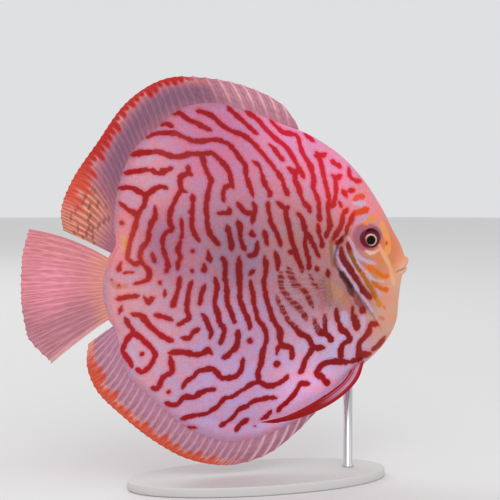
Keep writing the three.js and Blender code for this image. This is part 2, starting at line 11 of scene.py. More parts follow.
import bpy
import numpy as np
from mathutils import Matrix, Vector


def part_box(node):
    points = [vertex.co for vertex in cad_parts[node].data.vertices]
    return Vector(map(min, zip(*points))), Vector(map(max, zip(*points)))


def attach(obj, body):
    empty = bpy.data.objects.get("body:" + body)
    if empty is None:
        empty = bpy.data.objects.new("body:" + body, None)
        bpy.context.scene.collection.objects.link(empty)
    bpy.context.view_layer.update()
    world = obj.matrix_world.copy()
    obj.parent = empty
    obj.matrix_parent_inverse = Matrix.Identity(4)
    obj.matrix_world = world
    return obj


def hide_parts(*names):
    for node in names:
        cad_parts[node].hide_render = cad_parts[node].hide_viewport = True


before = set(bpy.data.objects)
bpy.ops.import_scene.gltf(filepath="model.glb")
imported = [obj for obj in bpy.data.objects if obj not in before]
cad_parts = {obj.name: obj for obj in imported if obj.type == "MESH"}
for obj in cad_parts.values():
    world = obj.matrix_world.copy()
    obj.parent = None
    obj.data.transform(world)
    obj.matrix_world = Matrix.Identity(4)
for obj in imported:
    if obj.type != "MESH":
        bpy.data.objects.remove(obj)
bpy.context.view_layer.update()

# %% [markdown]
# ## The camera
# The fish was seen from its right side, a little from behind, almost level. A long lens far away
# keeps the disc flat and even. The camera is made first, because the colours and the winding lines
# are placed by where they are seen in the picture, and a line of sight needs the camera.

# %% Camera
FISH_PLACE = np.array([-4.0, 0.0, 100.6])
MM = 0.001
CAMERA_AZIMUTH = math.radians(-18)
CAMERA_ELEVATION = math.radians(3)
CAMERA_DISTANCE = 600.0
IMAGE_SIDE = 500
FOCAL_PIXELS = 1398.0
SENSOR_WIDTH = 36.0

camera_back = np.array([
    math.sin(CAMERA_AZIMUTH) * math.cos(CAMERA_ELEVATION),
    -math.cos(CAMERA_AZIMUTH) * math.cos(CAMERA_ELEVATION),
    math.sin(CAMERA_ELEVATION),
])
camera_right = np.cross([0, 0, 1], camera_back)
camera_right /= np.linalg.norm(camera_right)
camera_up = np.cross(camera_back, camera_right)
camera_data = bpy.data.cameras.new("camera")
camera_data.sensor_width = SENSOR_WIDTH
camera_data.lens = FOCAL_PIXELS / IMAGE_SIDE * SENSOR_WIDTH
camera_data.clip_start = 0.02
camera = bpy.data.objects.new("camera", camera_data)
camera_at = (FISH_PLACE + camera_back * CAMERA_DISTANCE) * MM
turned = np.stack([camera_right, camera_up, camera_back], axis=1)
camera.matrix_world = Matrix.Translation(camera_at) @ Matrix(turned.tolist()).to_4x4()
bpy.context.scene.collection.objects.link(camera)
bpy.context.scene.camera = camera
print("lens", round(camera_data.lens, 1), "mm at", [round(v, 3) for v in camera_at])

# %% [markdown]
# ## Smooth lines through a few points
# A fish has no straight edge. Each outline is a handful of points, chosen in the picture
# and turned into millimetres, with a smooth curve through them. The CAD source uses the same kind
# of curve, so a piece that is made here lies where its solid lies.


# %% Curves
def smooth(t):
    """A soft step from 0 to 1"""
    t = np.clip(t, 0, 1)
    return t * t * (3 - 2 * t)


def smooth_curve(points, shares, closed=False):
    """Places on the curve through the points, where each span has an equal share"""
    points = np.asarray(points, float)
    count = len(points)
    spans = count if closed else count - 1
    place = np.clip(np.asarray(shares, float), 0, 1) * spans
    index = np.minimum(place.astype(int), spans - 1)
    t = (place - index)[..., None]
    if closed:
        p0, p1, p2, p3 = (points[(index + k) % count] for k in (-1, 0, 1, 2))
    else:
        ends = 2 * points[0] - points[1], 2 * points[-1] - points[-2]
        padded = np.vstack([ends[0], points, ends[1]])
        p0, p1, p2, p3 = (padded[index + k] for k in range(4))
    d0, d1, d2 = (
        np.sqrt(np.linalg.norm(b - a, axis=-1))[..., None]
        for a, b in ((p0, p1), (p1, p2), (p2, p3))
    )
    m1 = ((p1 - p0) / d0 - (p2 - p0) / (d0 + d1) + (p2 - p1) / d1) * d1
    m2 = ((p2 - p1) / d1 - (p3 - p1) / (d1 + d2) + (p3 - p2) / d2) * d1
    square, cube = t * t, t * t * t
    return p1 + t * m1 + square * (3 * (p2 - p1) - 2 * m1 - m2) + cube * (2 * (p1 - p2) + m1 + m2)


def even_curve(points, shares):
    """Places on an open curve at shares of its real length"""
    fine = smooth_curve(points, np.linspace(0, 1, 1200))
    run = np.append(0, np.cumsum(np.linalg.norm(np.diff(fine, axis=0), axis=1)))
    wanted = np.asarray(shares, float) * run[-1]
    return np.stack([np.interp(wanted, run, fine[:, k]) for k in range(fine.shape[1])], axis=-1)


def along(values, t):
    """The value of evenly spaced numbers at share t, smoothed between them"""
    values = np.asarray(values, float)
    scaled = np.clip(t, 0, 1) * (len(values) - 1)
    index = np.minimum(scaled.astype(int), len(values) - 2)
    return values[index] + (values[index + 1] - values[index]) * smooth(scaled - index)


# %% [markdown]
# ## The disc of the body
# Seen from the side the body is one closed outline. Its thickness falls away from the middle of
# the flank to the outline, sharply at the keel of the back and softly at the snout. Three numbers
# say how in each direction: the half thickness that is left at the outline, the power of the
# distance, and the root that rounds the edge over. The tail end sweeps a little to the fish's
# right.

# %% Body shape
BODY_OUTLINE = [
    (72.2, -7), (70.2, 0.5), (65.6, 8.7), (61.2, 17), (52, 30.2), (42.7, 39.6), (32, 46.8),
    (22, 51.4), (2, 56.3), (-20, 56), (-38.8, 47), (-50.2, 31), (-56, 11), (-57.8, 2.6),
    (-60.4, -2.2), (-60.9, -15), (-60.4, -27.4), (-57.6, -33), (-49.5, -46.4), (-35.6, -62),
    (-18, -72.2), (2, -75.2), (22, -70.2), (40, -61), (53, -51), (62.5, -42.2), (67.8, -33),
    (69, -23), (70.4, -13.5),
]
MIDDLE = np.array([13.0, -9.0])
HALF_THICKNESS = 14.2
# Degrees from MIDDLE, edge, power, root
FLANK_KEYS = np.array([
    (0, 0.5, 2.4, 2), (40, 0.5, 2.3, 1.9), (66, 0.7, 2.1, 1.6), (84, 1.3, 1.9, 1.15),
    (165, 1.3, 1.7, 1), (180, 3, 1.5, 1), (188, 3, 1.5, 1), (203, 1.3, 1.7, 1),
    (288, 1.3, 1.9, 1.15), (306, 0.7, 2.1, 1.6), (330, 0.5, 2.3, 1.9), (360, 0.5, 2.4, 2),
])
BEND_FROM_X, BEND_RATE = -12, 0.0014


def bend_at(x):
    return -BEND_RATE * np.maximum(0, BEND_FROM_X - x) ** 2


def reach_table(outline):
    """Directions from MIDDLE and how far the outline is in each"""
    fine = smooth_curve(outline, np.linspace(0, 1, 2881)[:-1], closed=True) - MIDDLE
    angle = np.arctan2(fine[:, 1], fine[:, 0]) % (2 * np.pi)
    order = np.argsort(angle)
    return angle[order], np.hypot(*fine[order].T)


def reach_at(table, angle):
    return np.interp(angle % (2 * np.pi), *table, period=2 * np.pi)


def half_at(angle, share):
    """Half the body's thickness in a direction, at a share of the way to the outline"""
    degrees = np.degrees(angle) % 360
    index = np.clip(np.searchsorted(FLANK_KEYS[:, 0], degrees), 1, len(FLANK_KEYS) - 1)
    before, after = FLANK_KEYS[index - 1], FLANK_KEYS[index]
    t = smooth((degrees - before[..., 0]) / (after[..., 0] - before[..., 0]))[..., None]
    edge, power, root = np.moveaxis((before + (after - before) * t)[..., 1:], -1, 0)
    rounding = np.maximum(0, 1 - share ** power) ** (1 / root)
    return edge + (HALF_THICKNESS - edge) * rounding


BODY_REACH = reach_table(BODY_OUTLINE)


def half_thickness(x, z):
    """Half the body's thickness over points of the side view"""
    angle = np.arctan2(z - MIDDLE[1], x - MIDDLE[0])
    share = np.hypot(x - MIDDLE[0], z - MIDDLE[1]) / reach_at(BODY_REACH, angle)
    return half_at(angle, np.minimum(share, 1))


def flank_normal(x, z, side):
    """The outward direction of a flank. side is -1 for the right one and 1 for the left one."""
    step = 0.5
    slope_x = (half_thickness(x + step, z) - half_thickness(x - step, z)) / (2 * step)
    slope_z = (half_thickness(x, z + step) - half_thickness(x, z - step)) / (2 * step)
    normal = np.stack([-slope_x, side + 0 * slope_x, -slope_z], axis=-1)
    return normal / np.linalg.norm(normal, axis=-1, keepdims=True)


def on_flank(x, z, side, out=0.0):
    x, z = np.asarray(x, float), np.asarray(z, float)
    return np.stack([x, side * half_thickness(x, z), z], axis=-1) + out * flank_normal(x, z, side)


print("half thickness at the eye", round(float(half_thickness(52.6, 5.0)), 2), "mm")

# %% [markdown]
# ## From the picture to the flank
# A mark on the skin is known by where it is seen. Its line of sight leaves the camera, goes
# through that place in the picture, and meets the flank. The flank bulges, so the meeting point
# is found in a few rounds: guess how far out the skin is, see where the line is at that depth,
# and look up the thickness there again.


# %% Lines of sight
def sight_lines(pixels):
    """The direction of each line of sight through places in the picture"""
    px, py = np.asarray(pixels, float)[:, :2].T
    across = (px - IMAGE_SIDE / 2)[:, None] / FOCAL_PIXELS * camera_right
    return across + (IMAGE_SIDE / 2 - py)[:, None] / FOCAL_PIXELS * camera_up - camera_back


def flank_places(pixels):
    """Side-view x and z of the right flank at places in the picture"""
    lines = sight_lines(pixels)
    start = camera_back * CAMERA_DISTANCE
    y = np.full(len(lines), -HALF_THICKNESS)
    for _ in range(25):
        point = start + lines * ((y - start[1]) / lines[:, 1])[:, None]
        y = 0.5 * y + 0.5 * (bend_at(point[:, 0]) - half_thickness(point[:, 0], point[:, 2]))
    return point[:, [0, 2]]


print("the middle of the picture is on the flank at", flank_places([(250, 250)]).round(1)[0])

# %% [markdown]
# ## The skin as one mesh
# On the fish one skin runs over head, gill covers, trunk and the bases of the fins, with no seam.
# It could be sculpted from a ball, but the body is a disc, so a round grid fits it better: spokes
# from the middle of each flank and rings out to the rim, with the two flanks joined at the rim.
# At the back and belly the scaly skin climbs some way up the fins as a thin sheath, so the skin's
# rim is further out there than the body's own.

# %% Skin grid
SHEATH_BACK = [(12.5, 54.8), (-3, 60.3), (-18, 62.6), (-30, 60.2), (-41, 52), (-52, 41.8),
               (-58, 28), (-60.4, 12), (-60, 3.4)]
SHEATH_TAIL = [(-63.4, -3.6), (-65.4, -9), (-66, -15), (-65.4, -21), (-63.4, -26.6)]
SHEATH_BELLY = [(-60, -32), (-58.2, -39), (-55, -50.6), (-45.6, -60.4), (-32.3, -72.3),
                (-20, -79.5), (-8, -82.5), (8, -80), (24, -73.2)]
SKIN_OUTLINE = BODY_OUTLINE[:8] + SHEATH_BACK + SHEATH_TAIL + SHEATH_BELLY + BODY_OUTLINE[23:]
SPOKES = 1000
RINGS = 165
RIM_CROWDING = 1.3
SHEATH_EDGE_HALF = 0.45
SIDES = {"right": -1, "left": 1}

skin_reach = reach_table(SKIN_OUTLINE)
spoke_angles = 2 * np.pi * np.arange(SPOKES) / SPOKES
ring_shares = 1 - (1 - np.arange(1, RINGS + 1) / RINGS) ** RIM_CROWDING
grid_angles = np.broadcast_to(spoke_angles, (RINGS, SPOKES))
body_rim = reach_at(BODY_REACH, spoke_angles)
skin_rim = np.maximum(reach_at(skin_reach, spoke_angles), body_rim)
grid_reach = ring_shares[:, None] * skin_rim
body_share = grid_reach / body_rim
past_body = np.clip((grid_reach - body_rim) / np.maximum(skin_rim - body_rim, 0.4), 0, 1)
grid_half = half_at(grid_angles, np.minimum(body_share, 1))
grid_half += (np.minimum(SHEATH_EDGE_HALF, grid_half) - grid_half) * smooth(past_body)
grid_x = MIDDLE[0] + grid_reach * np.cos(spoke_angles)
grid_z = MIDDLE[1] + grid_reach * np.sin(spoke_angles)


def flank_points(side):
    """The middle point and then all rings of one flank"""
    x = np.append(MIDDLE[0], grid_x)
    z = np.append(MIDDLE[1], grid_z)
    half = np.append(HALF_THICKNESS, grid_half)
    return np.stack([x, bend_at(x) + side * half, z], axis=1)


def flank_faces(offset, flipped):
    ring = 1 + offset + np.arange(RINGS)[:, None] * SPOKES + np.arange(SPOKES)
    beside = np.roll(ring, -1, axis=1)
    fan = np.stack([np.full(SPOKES, offset), ring[0], beside[0]], axis=1)
    quads = np.stack([ring[:-1], ring[1:], beside[1:], beside[:-1]], axis=-1).reshape(-1, 4)
    return (fan[:, ::-1], quads[:, ::-1]) if flipped else (fan, quads)


def mesh_object(name, points, face_groups):
    """A smooth mesh from points in the fish's frame, in millimetres"""
    mesh = bpy.data.meshes.new(name)
    placed = ((np.asarray(points) + FISH_PLACE) * MM).astype(np.float32)
    sizes = np.concatenate([np.full(len(group), group.shape[1]) for group in face_groups])
    corners = np.concatenate([group.ravel() for group in face_groups]).astype(np.int32)
    mesh.vertices.add(len(placed))
    mesh.vertices.foreach_set("co", placed.ravel())
    mesh.loops.add(len(corners))
    mesh.loops.foreach_set("vertex_index", corners)
    mesh.polygons.add(len(sizes))
    starts = np.append(0, np.cumsum(sizes)[:-1]).astype(np.int32)
    mesh.polygons.foreach_set("loop_start", starts)
    mesh.update(calc_edges=True)
    mesh.validate()
    mesh.shade_smooth()
    piece = bpy.data.objects.new(name, mesh)
    bpy.context.scene.collection.objects.link(piece)
    return piece


def vertex_normals(mesh):
    normals = np.zeros(len(mesh.vertices) * 3, np.float32)
    mesh.vertex_normals.foreach_get("vector", normals)
    return normals.reshape(-1, 3).astype(float)


FLANK_COUNT = 1 + RINGS * SPOKES
skin_points = np.concatenate([flank_points(side) for side in SIDES.values()])
right_rim = 1 + (RINGS - 1) * SPOKES + np.arange(SPOKES)
left_rim = right_rim + FLANK_COUNT
rim_strip = np.stack([right_rim, left_rim, np.roll(left_rim, -1), np.roll(right_rim, -1)], axis=1)
right_faces, left_faces = flank_faces(0, False), flank_faces(FLANK_COUNT, True)
skin_faces = [np.concatenate([right_faces[0], left_faces[0]]),
              np.concatenate([right_faces[1], left_faces[1], rim_strip])]
skin = mesh_object("skin_coat", skin_points, skin_faces)
print("skin faces:", len(skin.data.polygons))

# %% [markdown]
# ## Lips, eye rims, nostrils and gill flaps
# These are folds of the same skin, so they aren't stuck on: the skin is pushed out or drawn in
# along its own normals. A round bar under the skin pushes it out until the bar is just covered.
# The gill cover is a flap: the skin rises towards its free rear edge and drops into a slit behind
# it. What lies in a fold is remembered as a depth from 0 to 1, because the material paints shade
# into it later, darkening it.

# %% Features of the head
EYE = {"x": 52.6, "z": 5.0, "radius": 5.2, "bulge": 1.9}
EYE_RIM = {"radius": 4.9, "tube": 0.85}
NOSTRIL = {"x": 60.2, "z": 2.4, "radius": 0.7, "rim": 1.05, "rise": 0.45, "depth": 0.9}
LIPS = [
    {"front": (72.2, -5.4), "corner": (65.6, -10.2), "half_width": 5.6, "thick": 1.65},
    {"front": (71.6, -8.9), "corner": (65.3, -12.2), "half_width": 5.2, "thick": 1.55},
]
GILL_REAR = [(41.2, 7.4), (38, 4.6), (35.2, 0.2), (34.5, -5), (37.2, -10), (45.4, -19.5),
             (52.6, -28.6), (59.6, -38)]
GILL_FRONT = [(61.8, -36.6), (60.2, -27), (56.4, -17.8), (51.8, -10.6), (47, -5.4),
              (43.9, -1.4), (43.4, 2.6)]
GILL_RISE, GILL_SLIT, GILL_SLIT_DEPTH, GILL_FLAP_WIDTH = 0.6, 0.9, 1.0, 8.0
SHOULDER = {"x": 35.9, "z": -16.6, "length": 8.4, "width": 14, "rise": 1.4, "lean": 12}


def swell(points, normals, centres, radii):
    """How far each point has to go along its normal to cover round bars"""
    push = np.zeros(len(points))
    for centre, radius in zip(centres, radii):
        near = np.flatnonzero(np.abs(points - centre).max(axis=1) < 2.4 * radius)
        gap = points[near] - centre
        ahead = np.einsum("ij,ij->i", gap, normals[near])
        inside = ahead ** 2 - np.einsum("ij,ij->i", gap, gap) + radius ** 2
        leaves = np.where(inside > 0, np.sqrt(np.maximum(inside, 0)) - ahead, 0)
        push[near] = np.maximum(push[near], leaves)
    return push


def lip_bar(lip):
    """Centres and radii along the bar of a lip"""
    (front_x, front_z), (corner_x, corner_z) = lip["front"], lip["corner"]
    turn_x = corner_x + (front_x - corner_x) * 0.62
    turn_z = corner_z + (front_z - corner_z) * 0.6
    wide = lip["half_width"]
    points = [(corner_x, -wide, corner_z), (turn_x, -wide * 0.82, turn_z), (front_x, 0, front_z),
              (turn_x, wide * 0.82, turn_z), (corner_x, wide, corner_z)]
    shares = np.linspace(0, 1, 60)
    thick = lip["thick"] * (0.55 + 0.45 * np.sin(np.pi * shares) ** 0.7)
    return smooth_curve(points, shares), thick


def distance_to_line(x, z, line):
    """Signed distance to a side-view line, and the share of the line that is nearest"""
    fine = smooth_curve(line, np.linspace(0, 1, 160))
    runs = np.gradient(fine, axis=0)
    gap_x = x[:, None] - fine[:, 0]
    gap_z = z[:, None] - fine[:, 1]
    nearest = np.argmin(gap_x ** 2 + gap_z ** 2, axis=1)
    pick = np.arange(len(x)), nearest
    side = np.sign(runs[nearest, 0] * gap_z[pick] - runs[nearest, 1] * gap_x[pick])
    return side * np.hypot(gap_x[pick], gap_z[pick]), nearest / (len(fine) - 1)


def relax(values, rounds):
    """Softens numbers over the skin's grid"""
    for flank in (values[:FLANK_COUNT], values[FLANK_COUNT:]):
        grid = flank[1:].reshape(RINGS, SPOKES)
        for _ in range(rounds):
            grid = 0.5 * grid + 0.25 * (np.roll(grid, 1, axis=1) + np.roll(grid, -1, axis=1))
            inner = grid.copy()
            inner[1:-1] = 0.5 * grid[1:-1] + 0.25 * (grid[:-2] + grid[2:])
            grid = inner
        flank[1:] = grid.ravel()
    return values


skin_x, _, skin_z = skin_points.T
skin_side = np.repeat(list(SIDES.values()), FLANK_COUNT)
normals = vertex_normals(skin.data)
push = np.zeros(len(skin_points))
depth = np.zeros(len(skin_points))
for lip in LIPS:
    push = np.maximum(push, swell(skin_points, normals, *lip_bar(lip)))
between_lips = np.exp(-((skin_z + 7.6 + (72 - skin_x) * 0.5) / 0.5) ** 2) * (skin_x > 65.2)
push = relax(push, 1)
push -= 0.55 * between_lips
depth += 0.5 * between_lips
for side in SIDES.values():
    here = skin_side == side
    rim_turns = np.linspace(0, 2 * np.pi, 60, endpoint=False)
    aim = flank_normal(EYE["x"], EYE["z"], side)
    first = np.cross(aim, [0, 0, 1])
    first /= np.linalg.norm(first)
    second = np.cross(aim, first)
    ring = np.cos(rim_turns)[:, None] * first + np.sin(rim_turns)[:, None] * second
    rim_centres = on_flank(EYE["x"], EYE["z"], side, 0.1) + EYE_RIM["radius"] * ring
    rim_push = swell(skin_points, normals, rim_centres, np.full(60, EYE_RIM["tube"]))
    push += np.where(here, relax(rim_push, 1), 0)
    from_nostril = np.hypot(skin_x - NOSTRIL["x"], skin_z - NOSTRIL["z"])
    rim = NOSTRIL["rise"] * np.exp(-((from_nostril - NOSTRIL["rim"]) / 0.38) ** 2)
    pit = smooth(1.35 - from_nostril / NOSTRIL["radius"])
    push += np.where(here, rim - NOSTRIL["depth"] * pit, 0)
    depth += np.where(here, 0.9 * pit, 0)
    near = np.flatnonzero(here & (skin_x > 22) & (skin_x < 66) & (skin_z < 14) & (skin_z > -44))
    gap, share = distance_to_line(skin_x[near], skin_z[near], GILL_REAR)
    fade = smooth(np.minimum(share, 1 - share) / 0.07)
    flap = np.where(gap > 0, GILL_RISE * smooth(1 - gap / GILL_FLAP_WIDTH), 0)
    slit = np.where(gap > 0, 0, smooth(1 + gap / (1.9 * GILL_SLIT)))
    slit *= smooth((0.92 - share) / 0.25)
    push[near] += fade * (flap - GILL_SLIT_DEPTH * slit)
    # The slit behind the gill cover is marked here for painted shade
    depth[near] += fade * slit * 0.62 * smooth((0.88 - share) / 0.2)
    gap, share = distance_to_line(skin_x[near], skin_z[near], GILL_FRONT)
    push[near] -= 0.22 * np.exp(-(gap / 1.1) ** 2) * smooth(np.minimum(share, 1 - share) / 0.1)
lean = math.radians(SHOULDER["lean"])
lobe_x = (skin_x - SHOULDER["x"]) * math.cos(lean) - (skin_z - SHOULDER["z"]) * math.sin(lean)
lobe_z = (skin_x - SHOULDER["x"]) * math.sin(lean) + (skin_z - SHOULDER["z"]) * math.cos(lean)
from_lobe = (2 * lobe_x / SHOULDER["length"]) ** 2 + (2 * lobe_z / SHOULDER["width"]) ** 2
push += SHOULDER["rise"] * 0.85 * smooth(1.1 - from_lobe / 1.5)
risen = skin_points + push[:, None] * normals
skin.data.vertices.foreach_set("co", ((risen + FISH_PLACE) * MM).astype(np.float32).ravel())
skin.data.update()
print("skin pushed out by up to", round(push.max(), 2), "mm and in by", round(-push.min(), 2))

# %% [markdown]
# ## The winding lines
# This colour form has lines of red pigment about four scales apart, which run along the body on
# the back and belly and from top to bottom in the middle. A noise pattern would give lines of the
# right kind in the wrong places. So a painter's way is used: each line is one stroke through a
# few places, chosen in the picture, with ends that taper. The strokes are laid out on a
# fine grid of the flank that keeps the distance to the nearest stroke.

# %% Strokes on the right flank, by their places in the picture
STROKES = [
    # over the back
    [(173, 113), (180, 113), (186, 118), (196, 123), (204, 127), (211, 130)],
    [(160, 124), (168, 124), (173, 127)],
    [(147, 137), (155, 134), (166, 133), (177, 134), (184, 137), (194, 141), (216, 140),
     (228, 144), (234, 150), (240, 158), (245, 165), (246, 175), (249, 184), (253, 196)],
    [(132, 155), (140, 153), (150, 152), (160, 152), (168, 155), (178, 157), (190, 154),
     (202, 154), (211, 153), (217, 157), (224, 164), (229, 172), (231, 180), (233, 188)],
    [(202, 154), (204, 163), (207, 172), (211, 180), (209, 188), (206, 205), (207, 218),
     (208, 228), (210, 234), (214, 239), (219, 245)],
    [(125, 173), (138, 171), (150, 170), (158, 173), (165, 171), (172, 168)],
    [(188, 166), (188, 172), (181, 177), (180, 184), (181, 190), (178, 195), (174, 203),
     (170, 214), (170, 223), (172, 229), (167, 232), (163, 238), (163, 248), (166, 258),
     (168, 267), (166, 272)],
    [(188, 172), (192, 175)],
    [(197, 111), (206, 113), (213, 117), (222, 125), (232, 131), (243, 135), (250, 140),
     (258, 148), (266, 158), (275, 169), (281, 178), (285, 188), (288, 196)],
    [(228, 107), (235, 114), (243, 121), (250, 128), (258, 134)],
    [(246, 111), (257, 119), (265, 128), (275, 138), (285, 146), (291, 154), (296, 163),
     (300, 170), (304, 178)],
    [(288, 168), (294, 172), (300, 170)],
    [(295, 173), (295, 180), (298, 187), (301, 196), (305, 204), (309, 208), (310, 212)],
    [(269, 144), (275, 150), (281, 158), (284, 160)],
    [(270, 119), (276, 126), (283, 132), (292, 134), (298, 137), (300, 146), (304, 156),
     (309, 163), (312, 172), (314, 181), (313, 188), (317, 197), (319, 205), (319, 214),
     (320, 221)],
    [(253, 161), (259, 166), (262, 174), (264, 182), (267, 188), (270, 193), (269, 196)],
    [(315, 155), (319, 158), (322, 168), (324, 178), (327, 189), (329, 198), (328, 207),
     (329, 218), (330, 227), (327, 233), (326, 238)],
    [(326, 154), (319, 157)],
    [(331, 161), (336, 164), (341, 167)],
    [(332, 175), (336, 178), (341, 175)],
    [(335, 178), (336, 192), (334, 202), (332, 206), (329, 205)],
    [(349, 168), (350, 176), (354, 180), (361, 181)],
    [(231, 184), (226, 187), (223, 193), (224, 201)],
    # behind the head
    [(342, 190), (347, 197)], [(348, 191), (354, 190)], [(339, 202), (342, 207)],
    [(348, 209), (344, 213), (342, 222), (340, 228), (336, 234), (333, 240)],
    [(354, 213), (352, 218), (350, 223), (347, 228), (347, 233)],
    [(343, 237), (339, 242), (336, 243)], [(347, 243), (349, 250)],
    [(318, 224), (319, 232), (322, 243), (322, 247)],
    [(297, 213), (302, 219), (304, 227), (306, 233), (305, 243), (307, 253), (309, 263),
     (309, 269)],
    [(306, 231), (310, 238), (313, 244), (317, 252), (319, 257)],
    [(316, 267), (318, 271)], [(328, 270), (328, 277)],
    # the rear of the flank
    [(119, 188), (132, 188), (140, 192), (146, 195), (152, 191), (159, 187), (167, 188)],
    [(146, 195), (145, 202), (142, 209), (138, 214), (136, 223), (133, 233), (130, 242),
     (128, 253), (127, 259)],
    [(120, 203), (127, 209), (134, 213), (138, 214)],
    [(155, 207), (155, 217), (152, 222), (149, 233), (148, 240), (142, 248), (140, 255),
     (141, 261)],
    [(181, 240), (178, 251), (180, 257), (178, 264), (178, 270)],
    [(192, 195), (193, 202), (192, 210), (192, 217), (192, 226), (195, 235), (199, 241)],
    [(208, 251), (209, 258), (210, 262)], [(204, 264), (204, 272)], [(152, 253), (155, 262)],
    [(121, 262), (119, 268), (119, 271)],
    [(127, 259), (135, 264), (141, 262), (145, 266), (149, 271), (148, 279), (141, 282),
     (134, 284)],
    [(180, 277), (179, 285), (176, 296), (174, 302), (172, 307)],
    [(192, 281), (189, 290), (187, 302), (187, 311), (189, 318), (183, 322), (178, 325)],
    [(205, 285), (201, 296), (200, 305)],
    [(202, 314), (205, 318), (208, 325), (211, 332), (210, 338)],
    # the middle of the flank
    [(253, 202), (255, 209), (254, 214), (252, 223)], [(252, 230), (252, 234), (255, 236)],
    [(257, 242), (257, 248), (255, 254), (250, 256), (248, 255)],
    [(238, 203), (242, 209), (247, 213), (254, 213)],
    [(218, 213), (223, 213), (229, 213), (229, 208)],
    [(238, 221), (240, 227), (240, 234), (242, 244), (245, 250)],
    [(227, 226), (229, 233), (231, 242), (232, 250)],
    [(268, 202), (268, 209), (270, 218), (271, 223), (274, 228), (277, 234), (280, 242),
     (281, 246)],
    [(277, 202), (282, 206), (286, 209), (289, 206)],
    [(286, 209), (286, 215), (288, 223), (290, 232), (292, 242), (295, 249), (297, 257),
     (301, 266), (302, 272)],
    [(289, 252), (294, 252)], [(264, 231), (266, 238), (267, 245)],
    [(275, 252), (277, 258), (278, 270)],
    [(265, 257), (266, 270), (264, 281), (265, 291), (267, 301), (270, 310), (273, 319),
     (277, 326), (280, 332), (280, 339), (282, 345), (291, 348), (292, 354), (292, 359)],
    [(280, 345), (278, 348), (277, 354)],
    [(222, 257), (225, 263), (225, 277), (226, 283), (227, 293), (227, 302), (231, 312),
     (233, 319), (235, 323)],
    [(238, 331), (238, 338), (236, 347), (231, 352), (227, 356), (223, 358)],
    [(239, 257), (239, 277), (240, 288), (240, 299), (243, 308), (246, 315), (249, 322),
     (250, 329)],
    [(254, 270), (250, 274)],
    [(251, 281), (251, 286), (253, 293), (254, 303), (256, 311), (258, 319), (263, 326),
     (266, 333), (266, 342), (264, 348), (262, 355), (261, 364), (258, 372), (259, 381)],
    [(215, 278), (217, 287), (216, 294), (215, 306), (218, 314), (220, 323), (224, 329),
     (222, 340), (220, 343)],
    [(281, 273), (281, 286), (285, 293), (288, 298), (292, 302), (297, 306), (302, 312),
     (307, 320)],
    [(281, 306), (285, 314), (288, 320), (295, 327), (301, 334), (308, 337), (313, 346),
     (324, 348)],
    [(313, 346), (310, 353), (305, 361), (302, 370), (300, 372)],
    [(291, 272), (293, 277)], [(292, 282), (295, 285), (301, 288)], [(304, 293), (309, 296)],
    # the breast
    [(314, 319), (316, 325), (320, 332), (326, 334), (330, 338), (332, 341)],
    [(325, 315), (325, 325), (326, 334)],
    [(336, 309), (337, 317), (339, 323), (341, 329), (346, 332), (349, 337), (350, 340),
     (343, 344), (341, 350), (341, 361)],
    [(377, 325), (371, 324), (369, 331), (364, 338), (359, 344), (359, 353), (357, 356)],
    [(359, 354), (368, 354)], [(385, 337), (378, 346), (373, 349)],
    [(350, 362), (341, 362), (330, 362), (322, 365), (318, 370), (316, 373), (322, 377),
     (325, 381), (329, 384)],
    # the belly
    [(132, 314), (141, 316), (145, 320), (150, 326), (158, 333), (165, 338), (173, 341)],
    [(155, 315), (162, 317)], [(182, 338), (189, 338), (194, 332), (199, 329)],
    [(125, 318), (129, 325), (133, 332), (128, 338), (125, 344), (123, 351), (126, 356),
     (131, 363), (132, 367)],
    [(133, 332), (141, 338), (147, 344), (153, 350), (155, 356), (152, 363), (147, 369),
     (142, 372), (137, 369)],
    [(169, 353), (178, 352), (188, 353), (196, 355), (203, 353), (208, 350), (212, 354)],
    [(170, 357), (172, 367), (172, 372), (165, 376), (161, 381), (159, 387), (156, 389),
     (152, 388)],
    [(182, 388), (187, 381), (193, 377), (197, 372), (203, 370), (212, 369), (217, 373),
     (220, 377), (228, 378), (236, 376), (240, 372), (242, 366), (243, 358)],
    [(166, 403), (172, 405), (178, 404), (182, 399), (185, 397), (194, 397), (202, 392),
     (209, 390), (215, 389)],
    [(182, 419), (189, 417), (197, 415), (205, 414), (212, 410), (218, 406), (222, 401),
     (225, 398), (232, 397), (239, 392), (245, 389), (250, 385), (257, 382), (259, 381)],
    [(259, 381), (263, 384), (268, 386), (277, 384), (284, 380), (288, 376)],
    [(309, 384), (301, 384), (297, 390), (292, 397), (287, 402), (281, 407), (278, 411)],
    [(276, 398), (268, 398), (258, 400), (252, 402), (247, 406), (240, 409), (236, 413),
     (232, 418), (225, 423), (220, 426)],
    [(248, 419), (240, 425), (236, 431)], [(271, 411), (267, 416), (261, 419)],
    # seen through the breast fin, and short lines between the others
    [(288, 268), (291, 277), (297, 285), (304, 291), (309, 299), (313, 307)],
    [(351, 362), (357, 359), (363, 356), (370, 354)], [(155, 315), (164, 317), (172, 320)],
    [(315, 152), (320, 155), (326, 154)], [(305, 134), (310, 138), (314, 141)],
    [(117, 299), (127, 297), (139, 296)], [(144, 297), (149, 302), (154, 298)],
]
THIN_STROKES = [
    [(181, 217), (182, 230), (181, 240)], [(181, 190), (187, 192)], [(123, 273), (134, 272)],
    [(122, 306), (119, 314)], [(162, 317), (171, 318)], [(309, 275), (313, 279)],
    [(312, 282), (318, 288)], [(310, 302), (312, 307)], [(353, 306), (352, 316)],
    [(184, 428), (197, 428)], [(277, 296), (280, 306)], [(165, 290), (165, 297)],
]
